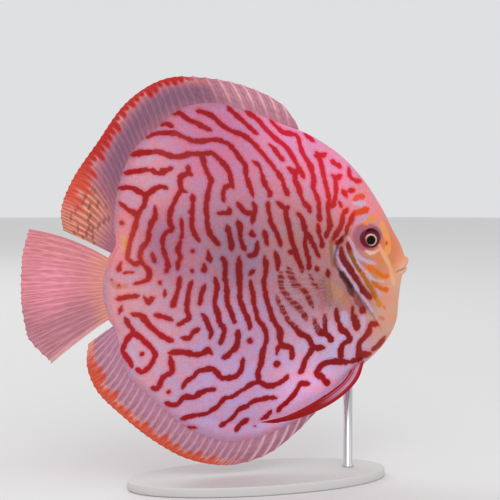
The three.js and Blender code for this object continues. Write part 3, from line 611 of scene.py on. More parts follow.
# Places and radii of spots, in the picture
SPOTS = [
    (311, 140, 1.4), (122, 223, 2.8), (189, 212, 1.6), (193, 251, 2.4), (210, 178, 3.4),
    (252, 233, 2.4), (192, 271, 2.4), (160, 283, 2.4), (112, 280, 1.3), (142, 354, 2.6),
    (250, 341, 3.3), (354, 318, 4.4), (356, 323, 4.8), (357, 327, 4.2), (363, 310, 4.2),
    (169, 392, 2.2), (277, 364, 4.0), (277, 353, 1.8), (302, 271, 1.4), (176, 405, 2.6),
    (119, 285, 1.6), (151, 298, 2.4), (255, 426, 1.2), (292, 351, 2.8),
    (348, 341, 3.2),
]
STROKE_HALF_WIDTH = 1.2
THIN_HALF_WIDTH = 0.8
BREAST_BROADER = 0.2
PIXEL_MM = CAMERA_DISTANCE / FOCAL_PIXELS
print("strokes:", len(STROKES) + len(THIN_STROKES), "and spots:", len(SPOTS))

# %% [markdown]
# Each stroke becomes a chain of small round dabs, close together. A dab writes into its own small
# patch of the grid how far each cell is from the dab's edge, and the smallest number wins. Inside
# a line the number is below zero. The width wavers along the stroke, as pigment does from scale
# to scale, and the random numbers are seeded so that each run paints the same fish.

# %% Lay the strokes out
GRID_STEP = 0.3
GRID_LOW = np.array([-72.0, -90.0])
GRID_SIZE = (510, 540)
FAR = 3.0
DAB_REACH, DAB_SPACING = 4.2, 0.25
TAPER_LENGTH, END_WIDTH, WAVER = 1.3, 0.55, 0.13
grid_marks_x = GRID_LOW[0] + GRID_STEP * np.arange(GRID_SIZE[0])
grid_marks_z = GRID_LOW[1] + GRID_STEP * np.arange(GRID_SIZE[1])
painter = np.random.default_rng(7)


def dab(field, places, half_widths):
    """Keeps in the grid the smallest distance to the edge of any dab"""
    patch = int(DAB_REACH / GRID_STEP)
    for (x, z), half_width in zip(places, half_widths):
        i, k = ((np.array([x, z]) - GRID_LOW) / GRID_STEP).astype(int)
        i0, i1 = max(i - patch, 0), min(i + patch + 1, GRID_SIZE[0])
        k0, k1 = max(k - patch, 0), min(k + patch + 1, GRID_SIZE[1])
        if i0 >= i1 or k0 >= k1:
            continue
        gap = np.hypot(grid_marks_x[i0:i1, None] - x, grid_marks_z[None, k0:k1] - z) - half_width
        field[i0:i1, k0:k1] = np.minimum(field[i0:i1, k0:k1], gap)


def stroke_dabs(pixels, half_width):
    """Places and half widths of the dabs along a stroke"""
    places = flank_places(pixels)
    length = np.linalg.norm(np.diff(places, axis=0), axis=1).sum()
    count = max(int(length / DAB_SPACING), 6)
    wavers = 4 + count // 9
    shares = np.linspace(0, 1, count)
    waver = np.interp(shares, np.linspace(0, 1, wavers), painter.normal(0, 1, wavers))
    ends = smooth(np.minimum(shares, 1 - shares) * length / TAPER_LENGTH)
    dabs = smooth_curve(places, shares)
    broad = 1 + BREAST_BROADER * smooth((dabs[:, 0] - 5) / 25) * smooth((-22 - dabs[:, 1]) / 20)
    tapered = END_WIDTH + (1 - END_WIDTH) * ends
    return dabs, half_width * broad * (1 + WAVER * waver) * tapered


def field_of(strokes, half_width):
    field = np.full(GRID_SIZE, FAR)
    for pixels in strokes:
        dab(field, *stroke_dabs(pixels, half_width))
    return field


stripe_field = np.minimum(field_of(STROKES, STROKE_HALF_WIDTH),
                          field_of(THIN_STROKES, THIN_HALF_WIDTH))
dab(stripe_field, flank_places(SPOTS), [radius * PIXEL_MM for *_, radius in SPOTS])
print("share of the grid that is red:", round(float((stripe_field < 0).mean()), 3))


# %% Read the grid at the skin's points
KNOTS = 220
SCALE_PITCH = 1.45
SCALE_STEP = 0.12
LEFT_WANDER, LEFT_WANDER_PITCH = 1.6, 17.0


def between_marks(values, i, k, u, v):
    """The value at shares u and v of the way between four neighbouring marks"""
    low = values[i, k] * (1 - u) + values[i + 1, k] * u
    high = values[i, k + 1] * (1 - u) + values[i + 1, k + 1] * u
    return low * (1 - v) + high * v


def read_grid(field, x, z):
    """The grid's value at places between its marks"""
    spot_x = np.clip((x - GRID_LOW[0]) / GRID_STEP, 0, GRID_SIZE[0] - 1.001)
    spot_z = np.clip((z - GRID_LOW[1]) / GRID_STEP, 0, GRID_SIZE[1] - 1.001)
    i, k = spot_x.astype(int), spot_z.astype(int)
    return between_marks(field, i, k, spot_x - i, spot_z - k)


def ragged(x, z, pitch, seed):
    """Smooth random numbers about as coarse as pitch"""
    knots = np.random.default_rng(seed).normal(0, 1, (KNOTS, KNOTS))
    spot_x, spot_z = (x + 90) / pitch % (KNOTS - 2), (z + 100) / pitch % (KNOTS - 2)
    i, k = spot_x.astype(int), spot_z.astype(int)
    return between_marks(knots, i, k, smooth(spot_x - i), smooth(spot_z - k))


# The left flank has the same strokes a little displaced, because no fish is the same on both sides
shift = np.where(skin_side > 0, LEFT_WANDER, 0.0)
read_x = skin_x + SCALE_STEP * ragged(skin_x, skin_z, SCALE_PITCH, 3)
read_z = skin_z + SCALE_STEP * ragged(skin_x, skin_z, SCALE_PITCH, 4)
read_x += shift * ragged(skin_x, skin_z, LEFT_WANDER_PITCH, 5)
read_z += shift * ragged(skin_x, skin_z, LEFT_WANDER_PITCH, 6)
stripe = read_grid(stripe_field, read_x, read_z)
print("stripe values from", round(float(stripe.min()), 2), "to", round(float(stripe.max()), 2))

# %% [markdown]
# ## Base colours by zone
# The pale ground isn't one colour: rosy at the nape, peach on the face, lilac on the belly,
# greyer in the middle of the flank. The zone colours are partly the fish's own colour and partly
# painted light and shade: lighter at the nape and forehead, darker in the middle of the flank,
# and darkened by painted shadow on the cheek. The red of the lines changes with it. A painter
# would mix a palette for each zone and blend between them, and that is what happens here: each
# zone has a place and two colours, and every point of the skin takes the mean of all, weighted by
# nearness. The colours were set by measuring the photograph and the render in each zone and
# closing the gap.

# %% Zones
# Place in the picture, pale ground, red of the lines. The colours are partly the fish's own and
# partly painted light and shade.
ZONES = {
    "nape": ((300, 130), (0.78, 0.27, 0.44), (0.52, 0.008, 0.030)),
    "upper back": ((210, 140), (0.57, 0.170, 0.295), (0.28, 0.004, 0.008)),
    "middle": ((235, 255), (0.33, 0.160, 0.225), (0.18, 0.004, 0.006)),
    "middle rear": ((165, 245), (0.41, 0.145, 0.220), (0.25, 0.005, 0.008)),
    "shoulder": ((300, 250), (0.41, 0.180, 0.185), (0.21, 0.004, 0.005)),
    "belly": ((230, 385), (0.60, 0.340, 0.560), (0.26, 0.004, 0.008)),
    "low flank": ((235, 330), (0.52, 0.275, 0.430), (0.23, 0.005, 0.008)),
    "breast": ((335, 345), (0.62, 0.400, 0.590), (0.21, 0.003, 0.005)),
    "throat": ((315, 395), (0.97, 0.48, 0.77), (0.36, 0.004, 0.006)),
    "forehead": ((368, 195), (0.82, 0.240, 0.270), (0.60, 0.010, 0.006)),
    "brow": ((345, 165), (0.84, 0.265, 0.430), (0.58, 0.010, 0.028)),
    "face": ((388, 255), (0.66, 0.185, 0.066), (0.46, 0.05, 0.010)),
    "snout": ((402, 272), (0.82, 0.370, 0.230), (0.60, 0.12, 0.05)),
    # The cheek colour is darkened partly by painted shadow
    "cheek": ((352, 290), (0.44, 0.155, 0.120), (0.15, 0.005, 0.004)),
    "gill cover": ((345, 268), (0.40, 0.175, 0.195), (0.15, 0.005, 0.004)),
    "chin": ((393, 315), (0.70, 0.320, 0.210), (0.36, 0.015, 0.010)),
    "rear back": ((140, 180), (0.64, 0.280, 0.360), (0.31, 0.004, 0.006)),
    "tail stalk": ((117, 240), (0.73, 0.240, 0.270), (0.42, 0.030, 0.020)),
    "under the stalk": ((122, 300), (0.68, 0.300, 0.340), (0.38, 0.020, 0.020)),
    "low rear": ((140, 350), (0.66, 0.340, 0.440), (0.37, 0.008, 0.014)),
}
# Soft marks of other colours: colour, half width in the picture, strength, stroke. Two dark ones
# are painted shadow in the gill opening.
MARKS = [
    ((0.56, 0.38, 0.54), 1.7, 0.8, [(354, 254), (358, 262), (364, 270), (370, 278), (376, 286),
                                    (381, 295)]),
    ((0.62, 0.44, 0.56), 1.3, 0.8, [(345, 247), (350, 260), (360, 276), (370, 291), (375, 302)]),
    ((0.28, 0.080, 0.008), 2.3, 1.0, [(347, 248), (352, 257), (356, 265), (361, 273)]),
    ((0.42, 0.120, 0.006), 2.5, 1.0, [(361, 273), (366, 281), (371, 289), (375, 297), (379, 306)]),
    ((0.62, 0.210, 0.020), 3.2, 0.9, [(377, 299), (380, 306)]),
    ((0.70, 0.150, 0.004), 2.6, 1.0, [(367, 265), (372, 269), (377, 272), (383, 276), (389, 276)]),
    ((0.64, 0.120, 0.004), 2.2, 1.0, [(372, 281), (377, 286), (383, 289), (388, 290)]),
    ((0.76, 0.060, 0.004), 3.3, 1.0, [(354, 213), (360, 212), (368, 209)]),
    ((0.74, 0.055, 0.010), 2.8, 0.9, [(354, 200), (358, 197), (364, 196)]),
    ((0.82, 0.26, 0.040), 3.4, 0.8, [(364, 222), (370, 220), (377, 216)]),
    ((0.88, 0.33, 0.08), 3.6, 0.7, [(381, 222), (385, 232), (388, 243), (387, 254)]),
    ((0.66, 0.110, 0.050), 1.6, 0.8, [(383, 306), (386, 309)]),
    ((0.62, 0.130, 0.070), 2.0, 0.7, [(378, 317), (384, 319)]),
    ((0.76, 0.42, 0.34), 1.5, 0.7, [(366, 271), (374, 279), (384, 282)]),
    ((0.72, 0.20, 0.03), 2.6, 0.6, [(380, 259), (387, 262), (394, 261)]),
    ((0.90, 0.50, 0.40), 1.6, 0.8, [(365, 251), (372, 253), (379, 249)]),
    ((0.90, 0.44, 0.24), 2.6, 0.6, [(379, 246), (384, 255), (391, 270), (394, 285)]),
    ((0.56, 0.40, 0.58), 1.7, 0.8, [(336, 247), (338, 260), (344, 270), (350, 279), (360, 294),
                                    (368, 305), (372, 311)]),
    ((0.60, 0.42, 0.60), 2.0, 0.75, [(353, 203), (360, 204), (366, 202)]),
    ((0.55, 0.30, 0.48), 3.2, 0.8, [(353, 221), (358, 221), (366, 216)]),
    ((0.58, 0.40, 0.55), 2.0, 0.75, [(348, 238), (353, 247), (359, 256), (366, 261),
                                     (376, 264)]),
    ((0.50, 0.42, 0.66), 3.2, 0.7, [(344, 313), (345, 322)]),
    ((0.52, 0.46, 0.66), 3.0, 0.7, [(363, 317), (362, 330)]),
    # Painted shadow: the next two marks darken the gap behind the gill cover's rear edge, above the
    # breast fin's base
    ((0.085, 0.016, 0.018), 3.4, 0.9, [(340, 272), (344, 279), (349, 287), (353, 295)]),
    ((0.24, 0.040, 0.050), 3.6, 0.8, [(355, 297), (359, 303), (362, 307)]),
    ((0.30, 0.10, 0.018), 2.2, 0.8, [(332, 238), (331, 248), (332, 258), (334, 266)]),
    ((0.50, 0.235, 0.12), 4.4, 0.6, [(326, 283), (333, 288), (340, 293)]),
    ((0.50, 0.235, 0.12), 5.0, 0.6, [(333, 293), (340, 299), (346, 303)]),
    ((0.52, 0.10, 0.14), 4.0, 0.45, [(319, 290), (323, 300), (322, 310)]),
    ((0.74, 0.30, 0.06), 2.6, 0.7, [(123, 236), (125, 246), (126, 256)]),
    ((0.52, 0.16, 0.05), 2.4, 0.6, [(113, 284), (119, 287), (128, 285)]),
]
# The broad stroke on the gill cover
BOLD_STROKE = [(341, 247), (341, 254), (344, 261), (349, 268), (354, 276), (359, 284),
               (363, 291), (367, 295), (371, 298)]
BOLD_HALF_WIDTH = 1.4
EYE_CLEARANCE = 6.2
SHEATH_EDGE_COLOUR = np.array([0.42, 0.175, 0.250])
# About the eye, in the picture: middle, radius, softness, strength and colour
EYE_SURROUND = ((366.5, 237.0), 14.0, 3.5, 0.85, (0.36, 0.100, 0.155))
# The dark disc painted on the skin of the eye rim's inner slope is partly the iris colour and
# partly painted shade by the rim
IRIS_AND_RIM_SHADE_ON_SKIN = ((369.6, 238.4), 9.9, 1.4, 1.0, (0.145, 0.003, 0.015))


def seen_at(points):
    """Where points of the fish's frame are seen in the picture"""
    away = CAMERA_DISTANCE - points @ camera_back
    return np.stack([IMAGE_SIDE / 2 + FOCAL_PIXELS * (points @ camera_right) / away,
                     IMAGE_SIDE / 2 - FOCAL_PIXELS * (points @ camera_up) / away], axis=1)


zone_places = flank_places([place for place, *_ in ZONES.values()])
pale_colours = np.array([pale for _, pale, _ in ZONES.values()])
red_colours = np.array([red for *_, red in ZONES.values()])
nearness = 1 / ((skin_x[:, None] - zone_places[:, 0]) ** 2
                + (skin_z[:, None] - zone_places[:, 1]) ** 2 + 25) ** 1.6
nearness /= nearness.sum(axis=1, keepdims=True)
pale = nearness @ pale_colours
red = nearness @ red_colours
as_right = skin_points.copy()
as_right[:, 1] = -np.abs(as_right[:, 1])
skin_seen = seen_at(as_right)


def paint_round(ground, middle, radius, softness, strength, colour):
    """Paints a soft round patch over the ground colour"""
    gap = np.hypot(*(skin_seen - middle).T)
    cover = strength * smooth((radius - gap) / softness + 0.5)[:, None] * (skin_x > 40)[:, None]
    return ground + cover * (np.array(colour) - ground)


on_sheath = smooth((past_body - 0.35) / 0.65) * smooth((skin_rim - body_rim - 2.2) / 2)
on_sheath = np.tile(np.append(0, on_sheath), 2)[:, None]
pale += 0.75 * on_sheath * (SHEATH_EDGE_COLOUR - pale)
pale = paint_round(pale, *EYE_SURROUND)
for colour, half_width, strength, stroke in MARKS:
    field = np.full(GRID_SIZE, FAR)
    dab(field, *stroke_dabs(stroke, half_width * PIXEL_MM))
    cover = strength * smooth(0.5 - read_grid(field, read_x, read_z) / 0.8)[:, None]
    pale += cover * (np.array(colour) - pale)
bold_field = np.full(GRID_SIZE, FAR)
dab(bold_field, *stroke_dabs(BOLD_STROKE, BOLD_HALF_WIDTH))
stripe = np.minimum(stripe, read_grid(bold_field, read_x, read_z))
pale = paint_round(pale, *IRIS_AND_RIM_SHADE_ON_SKIN)
from_eye = np.hypot(skin_x - EYE["x"], skin_z - EYE["z"])
stripe = np.where(from_eye < EYE_CLEARANCE, FAR, stripe)
print("zones blended:", len(ZONES), "and soft marks:", len(MARKS))

# %% [markdown]
# The numbers go onto the mesh as named attributes, which a material can read anywhere. The skin
# also gets a flat layout of its two flanks, so that the colours can be stored as an image when
# the model leaves Blender.


# %% Attributes of the skin
def store(piece, name, values):
    """Keeps numbers, places or colours on a mesh's points under a name"""
    values = np.asarray(values, np.float32)
    if values.ndim == 1:
        attribute = piece.data.attributes.new(name, "FLOAT", "POINT")
        attribute.data.foreach_set("value", values)
    elif name.startswith("place"):
        attribute = piece.data.attributes.new(name, "FLOAT_VECTOR", "POINT")
        attribute.data.foreach_set("vector", values.ravel())
    else:
        attribute = piece.data.attributes.new(name, "FLOAT_COLOR", "POINT")
        whole = np.concatenate([values, np.ones((len(values), 1), np.float32)], axis=1)
        attribute.data.foreach_set("color", whole.ravel())


def flat_layout(piece, places):
    """Stores a flat layout, given as a place in the unit square for each point"""
    corner_vertex = np.zeros(len(piece.data.loops), np.int32)
    piece.data.loops.foreach_get("vertex_index", corner_vertex)
    layer = piece.data.uv_layers.new(name="OFBake")
    layer.data.foreach_set("uv", np.asarray(places, np.float32)[corner_vertex].ravel())


scaly = smooth((60 - skin_x) / 9) * smooth((np.hypot(skin_x - 66, skin_z - 4) - 12) / 9)
store(skin, "stripe", stripe)
store(skin, "pale", pale)
store(skin, "red", red)
store(skin, "depth", np.clip(depth, 0, 1))
store(skin, "scaly", scaly)
store(skin, "place_on_flank", np.stack([skin_x, skin_z, skin_side * 50.0], axis=1))
LAYOUT_LOW, LAYOUT_SIZE, LAYOUT_MARGIN = (-70, -86), (146, 152), 0.01
layout_u = (skin_x - LAYOUT_LOW[0]) / LAYOUT_SIZE[0] * 0.48
layout_u += np.where(skin_side < 0, LAYOUT_MARGIN, 0.5 + LAYOUT_MARGIN)
layout_v = (skin_z - LAYOUT_LOW[1]) / LAYOUT_SIZE[1] * 0.98 + LAYOUT_MARGIN
flat_layout(skin, np.stack([layout_u, layout_v], axis=1))
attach(skin, "root")
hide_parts("head", "torso", "tail_stalk", "gill_cover_right", "gill_cover_left")
print("skin attributes:", [a.name for a in skin.data.attributes if not a.name.startswith(".")])


# %% [markdown]
# ## Building materials
# A material is a small network of nodes. A few helpers keep the lessons below short. They make a
# material with its plain numbers set, add a node, join two sockets, and build the noises, sums and
# blends that come up again and again.


# %% Helpers for materials
def new_material(name, **numbers):
    """A Principled material whose sockets are set by name, with _ for a space"""
    material = bpy.data.materials.new(name)
    material.use_nodes = True
    shader = material.node_tree.nodes["Principled BSDF"]
    for socket, value in numbers.items():
        shader.inputs[socket.replace("_", " ")].default_value = value
    return material


def add_node(material, kind, inputs=None, **settings):
    node = material.node_tree.nodes.new(kind)
    for key, value in settings.items():
        setattr(node, key, value)
    for socket, value in (inputs or {}).items():
        if isinstance(value, bpy.types.NodeSocket):
            material.node_tree.links.new(value, node.inputs[socket])
        else:
            node.inputs[socket].default_value = value
    return node


def plug(material, output, socket):
    shader = material.node_tree.nodes["Principled BSDF"]
    material.node_tree.links.new(output, shader.inputs[socket])


def attribute(material, name, output="Fac"):
    return add_node(material, "ShaderNodeAttribute", attribute_name=name).outputs[output]


def arithmetic(material, operation, first, second):
    return add_node(material, "ShaderNodeMath", {0: first, 1: second},
                    operation=operation).outputs[0]


def between(material, value, start, end, low=0.0, high=1.0):
    """Turns a value into low at start and high at end, softly"""
    return add_node(material, "ShaderNodeMapRange",
                    {"Value": value, "From Min": start, "From Max": end,
                     "To Min": low, "To Max": high},
                    interpolation_type="SMOOTHSTEP").outputs["Result"]


def blend_colour(material, share, first, second, how="MIX"):
    node = add_node(material, "ShaderNodeMix", data_type="RGBA", blend_type=how)
    for socket, value in zip((0, 6, 7), (share, first, second)):
        if isinstance(value, bpy.types.NodeSocket):
            material.node_tree.links.new(value, node.inputs[socket])
        elif socket == 0:
            node.inputs[0].default_value = value
        else:
            node.inputs[socket].default_value = (*value, 1)
    return node.outputs[2]


def noise(material, scale, detail=2.0, place=None):
    inputs = {"Scale": scale, "Detail": detail}
    if place is not None:
        inputs["Vector"] = place
    return add_node(material, "ShaderNodeTexNoise", inputs).outputs["Fac"]


def stretched(material, place, factors):
    return add_node(material, "ShaderNodeVectorMath", {0: place, 1: factors},
                    operation="MULTIPLY").outputs[0]


def lit_by(material, colour, light):
    return add_node(material, "ShaderNodeVectorMath", {0: colour, "Scale": light},
                    operation="SCALE").outputs[0]


def bump(material, height, distance, strength=1.0):
    return add_node(material, "ShaderNodeBump",
                    {"Height": height, "Distance": distance, "Strength": strength}).outputs[0]


print("material helpers are ready")

# %% [markdown]
# ## The skin's finish
# The distance to the nearest stroke becomes a sharp line here: below zero is red, with an edge
# that is warmer and lighter than the core. Scales are about a millimetre and a half wide, each a
# small shield that rises to its rear edge. They are relief, not separate pieces, because there
# are thousands and each is thinner than paper. A thin wet coat gives the satin gloss.

# %% Skin material
skin_finish = new_material("painted_scaly_skin", Roughness=0.42, Coat_Weight=0.1,
                           Coat_Roughness=0.2, Specular_IOR_Level=0.12)
flank_place = attribute(skin_finish, "place_on_flank", "Vector")
scale_cells = add_node(skin_finish, "ShaderNodeTexVoronoi",
                       {"Vector": flank_place, "Scale": 1 / SCALE_PITCH, "Randomness": 0.65},
                       voronoi_dimensions="3D")
grain = noise(skin_finish, 0.9, 3.0, flank_place)
cloud = noise(skin_finish, 0.16, 2.0, flank_place)
wander = between(skin_finish, grain, 0.25, 0.75, -0.16, 0.16)
edge_distance = arithmetic(skin_finish, "ADD", attribute(skin_finish, "stripe"), wander)
in_line = between(skin_finish, edge_distance, 0.26, -0.22)
in_core = between(skin_finish, edge_distance, 0.0, -0.62)
warm_edge = blend_colour(skin_finish, 1.0, attribute(skin_finish, "red", "Color"),
                         (1.55, 2.6, 1.9), "MULTIPLY")
line_colour = blend_colour(skin_finish, in_core, warm_edge, attribute(skin_finish, "red", "Color"))
scale_light = between(skin_finish, scale_cells.outputs["Distance"], 0.05, 0.72, 1.04, 0.93)
hue_drift = blend_colour(skin_finish, between(skin_finish, cloud, 0.35, 0.65),
                         (1.08, 0.92, 0.90), (0.92, 1.05, 1.14))
ground = blend_colour(skin_finish, 1.0, attribute(skin_finish, "pale", "Color"), hue_drift,
                      "MULTIPLY")
lit_ground = lit_by(skin_finish, ground, scale_light)
scaled_ground = blend_colour(skin_finish, attribute(skin_finish, "scaly"), ground, lit_ground)
halo = blend_colour(skin_finish, between(skin_finish, edge_distance, 0.15, 1.3),
                    (0.90, 0.77, 0.84), (0.98, 1.04, 1.02))
shaded_ground = blend_colour(skin_finish, 1.0, scaled_ground, halo, "MULTIPLY")
marked = blend_colour(skin_finish, in_line, shaded_ground, line_colour)
# Painted shade: points deep in a fold (between the lips, in the nostril, in the gill slit) are
# darkened towards near-black red
fold_shade_share = between(skin_finish, attribute(skin_finish, "depth"), 0.05, 1.0, 0.0, 0.9)
plug(skin_finish, blend_colour(skin_finish, fold_shade_share, marked, (0.12, 0.022, 0.024)),
     "Base Color")
scale_height = arithmetic(skin_finish, "MULTIPLY",
                          between(skin_finish, scale_cells.outputs["Distance"], 0.0, 0.8, 1.0, 0.0),
                          attribute(skin_finish, "scaly"))
fine_height = arithmetic(skin_finish, "MULTIPLY", grain, 0.35)
plug(skin_finish, bump(skin_finish, arithmetic(skin_finish, "ADD", scale_height, fine_height),
                       0.00012, 0.4), "Normal")
plug(skin_finish, between(skin_finish, grain, 0.2, 0.8, 0.36, 0.5), "Roughness")
skin.data.materials.append(skin_finish)
print("nodes in the skin's finish:", len(skin_finish.node_tree.nodes))

# %% [markdown]
# ## The eyes
# A discus has a large red eye with a round black pupil and a thin gold ring round it. The eyeball
# is a polished globe, and the colours are rings about the direction in which it looks. The pupil
# is seen a little off the middle, so the direction is found from its place in the picture: the
# line of sight meets the globe there.

# %% Eyeballs
PUPIL_IN_PICTURE = (371.3, 240.2)
PUPIL_RADIUS, GOLD_INNER, GOLD_OUTER = 1.95, 2.15, 2.85


def globe(centre, radius, turns=96, bands=64):
    """Points and faces of a round eyeball"""
    lift = np.pi * np.arange(1, bands) / bands
    turn = 2 * np.pi * np.arange(turns) / turns
    body = np.stack([np.sin(lift)[:, None] * np.cos(turn), np.sin(lift)[:, None] * np.sin(turn),
                     np.repeat(np.cos(lift)[:, None], turns, axis=1)], axis=-1).reshape(-1, 3)
    points = centre + radius * np.concatenate([[[0, 0, 1]], body, [[0, 0, -1]]])
    ring = 1 + np.arange(bands - 1)[:, None] * turns + np.arange(turns)
    beside = np.roll(ring, -1, axis=1)
    last = len(points) - 1
    caps = [np.stack([np.zeros(turns, int), ring[0], beside[0]], axis=1),
            np.stack([np.full(turns, last), beside[-1], ring[-1]], axis=1)]
    quads = np.stack([ring[:-1], ring[1:], beside[1:], beside[:-1]], axis=-1).reshape(-1, 4)
    return points, [np.concatenate(caps), quads]


def eye_centre(side):
    return on_flank(EYE["x"], EYE["z"], side, EYE["bulge"] - EYE["radius"])


sight = sight_lines([PUPIL_IN_PICTURE])[0]
sight /= np.linalg.norm(sight)
to_centre = eye_centre(-1) - camera_back * CAMERA_DISTANCE
nearest_run = to_centre @ sight
miss = np.linalg.norm(to_centre - nearest_run * sight)
hit_run = nearest_run - math.sqrt(max(EYE["radius"] ** 2 - miss ** 2, 0))
gaze = camera_back * CAMERA_DISTANCE + hit_run * sight - eye_centre(-1)
gaze /= np.linalg.norm(gaze)
eye_finish = new_material("polished_red_eye", Roughness=0.2, Coat_Weight=0.14,
                          Coat_Roughness=0.03, Specular_IOR_Level=0.06)
ring_distance = attribute(eye_finish, "from_gaze")
iris_grain = noise(eye_finish, 900.0, 3.0)
maroon = blend_colour(eye_finish, between(eye_finish, iris_grain, 0.35, 0.7),
                      (0.11, 0.002, 0.012), (0.22, 0.005, 0.020))
# The iris darkens to near black at the edge of the visible globe: partly its own dark edge, partly
# painted shade under the eye rim
iris_and_rim_shade = blend_colour(eye_finish, between(eye_finish, ring_distance, 3.6, 4.6), maroon,
                           (0.050, 0.002, 0.008))
gold = blend_colour(eye_finish, between(eye_finish, iris_grain, 0.3, 0.7),
                    (0.52, 0.30, 0.24), (0.70, 0.48, 0.36))
in_gold = arithmetic(eye_finish, "MULTIPLY",
                     between(eye_finish, ring_distance, GOLD_INNER - 0.18, GOLD_INNER + 0.1),
                     between(eye_finish, ring_distance, GOLD_OUTER + 0.25, GOLD_OUTER - 0.2))
with_gold = blend_colour(eye_finish, in_gold, iris_and_rim_shade, gold)
in_pupil = between(eye_finish, ring_distance, PUPIL_RADIUS + 0.12, PUPIL_RADIUS - 0.12)
plug(eye_finish, blend_colour(eye_finish, in_pupil, with_gold, (0.002, 0.001, 0.001)),
     "Base Color")
for name, side in SIDES.items():
    points, faces = globe(eye_centre(side), EYE["radius"])
    eyeball = mesh_object(f"eyeball_{name}", points, faces)
    look = gaze * [1, -side, 1]
    outward = (points - eye_centre(side)) / EYE["radius"]
    store(eyeball, "from_gaze", np.arccos(np.clip(outward @ look, -1, 1)) * EYE["radius"])
    eyeball.data.materials.append(eye_finish)
    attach(eyeball, "root")
    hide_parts(f"eye_{name}")
print("the right eye looks along", gaze.round(2))

# %% [markdown]
# ## Fins as ridged sheets
# A fin is a thin skin stretched over bony rays. Each ray is a rod that splits in two towards the
# fin's edge, and the skin between two rays is thinner and stops a little short of their tips, so
# the edge is notched. The whole fin is one sheet: a grid of points with a small thickness that
# swells over each ray. The grid is fine enough to carry the rays as real relief, and each fin
# keeps for its material how far a point is out from the root, how far across the fin, and how
# near to a ray.


# %% Fin sheets
# Distances are shares of the gap between two rays, and FORK_FROM is a share of a ray's length
COLUMNS_PER_RAY = 9
RAY_REACH, FORK_REACH, FORK_FROM = 0.24, 0.09, 0.42


def ray_ridge(phase, row, splits):
    """From 0 between rays to 1 on a ray, where rays split towards the edge"""
    gap = np.abs(phase - np.round(phase))
    if not splits:
        return np.clip(1 - gap / RAY_REACH, 0, 1) ** 0.8
    forked = smooth((row - FORK_FROM) / 0.5)
    reach = RAY_REACH - FORK_REACH * forked
    return np.clip(1 - np.abs(gap - RAY_REACH * forked) / reach, 0, 1) ** 0.8


def fin_sheet(name, middle, half, attributes):
    """A sheet of given half thickness about a grid of middle points"""
    across = np.gradient(middle, axis=0)
    out = np.gradient(middle, axis=1)
    normal = np.cross(across, out)
    normal /= np.maximum(np.linalg.norm(normal, axis=-1, keepdims=True), 1e-9)
    columns, rows = middle.shape[:2]
    points = np.concatenate([(middle + face * normal * half[..., None]).reshape(-1, 3)
                             for face in (1, -1)])
    index = np.arange(columns * rows).reshape(columns, rows)
    quads = np.stack([index[:-1, :-1], index[1:, :-1], index[1:, 1:], index[:-1, 1:]],
                     axis=-1).reshape(-1, 4)
    border = np.concatenate([index[:-1, 0], index[-1, :-1], index[:0:-1, -1], index[0, :0:-1]])
    strip = np.stack([border, border + index.size, np.roll(border, -1) + index.size,
                      np.roll(border, -1)], axis=1)
    piece = mesh_object(name, points, [np.concatenate([quads, quads[:, ::-1] + index.size, strip])])
    for key, values in attributes.items():
        values = np.asarray(values)
        flat = values.reshape(-1, 3) if values.ndim == 3 else values.ravel()
        store(piece, key, np.concatenate([flat, flat]))
    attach(piece, "root")
    return piece


def thinned(row, ridge, root_half, ray_half, web_half, tip_half=0.14):
    """Half thickness that falls from the root to the rays and the web, and thins at the edge"""
    body = web_half + (ray_half - web_half) * ridge
    half = root_half + (body - root_half) * smooth(row * 3.2)
    return half + (np.minimum(tip_half, half) - half) * smooth((row - 0.9) / 0.1)


def fan_shares(rays, rows):
    """Ray numbers along the root, the same as shares, and shares from the root to the edge"""
    phases = np.linspace(0, rays - 1, (rays - 1) * COLUMNS_PER_RAY + 1)
    return phases, phases / phases[-1], np.linspace(0, 1, rows)


def ripple(wave, row, column):
    """A ripple of a given height and count that grows towards the edge"""
    height, turns = wave
    return height * row ** 2 * np.sin(turns * column)[:, None]


def scallop(phase):
    """0 at a ray and 1 midway between two"""
    return 1 - (1 - 2 * np.abs(phase - np.round(phase))) ** 2


print("fin helpers are ready")

# %% [markdown]
# ## The fins of the back and belly
# Both start with stiff spines and go on with soft, split rays, and both end in a lobe that hangs
# over the tail. The rays leave the body's outline and lean back more and more. Their colours run
# along with the sheet: a smoky mauve band beside the sheath, red or salmon streaks between the
# tips, and peach with dark bars across the rays of the rear lobe.

# %% Fins of back and belly
DORSAL = {
    "edge": [(20.6, 55), (14.6, 62.6), (1.3, 69.2), (-17.8, 73.2), (-37.5, 72.4), (-54, 62.6),
             (-68, 44.6), (-78.4, 29.6), (-83, 18), (-82.2, 9.8)],
    "root_from": (22, 51.4), "root_to": (-60, -0.8), "sweep": 0.8, "spines": 9, "soft": 21,
}
ANAL = {
    "edge": [(36.6, -65.6), (29, -72.6), (20.6, -80.6), (8, -89), (-9, -92.6), (-27, -89.2),
             (-42, -80.8), (-58, -67.6), (-68.4, -56.6), (-72.4, -46), (-71.8, -37.4)],
    "root_from": (38, -62.2), "root_to": (-59.8, -30), "sweep": 0.8, "spines": 7, "soft": 19,
}
GAP = 0.3
# Half thicknesses are those of the root, the rays and the web between them
MEDIAN = {"halves": (0.55, 0.42, 0.2), "notch": 1.1, "bow": 0.16, "more_bow": 0.1,
          "wave": (0.5, 17)}
FINE_RAYS = 1.55
# Where a rear ray turns level, as shares of the way from its tip back to its root, in x and z
LEVEL_TURN = (0.55, 0.08)


def outline_share(point):
    """The share of the body's outline that is nearest to a point"""
    shares = np.linspace(0, 1, 1441)[:-1]
    places = smooth_curve(BODY_OUTLINE, shares, closed=True)
    return shares[np.argmin(np.hypot(*(places - point).T))]


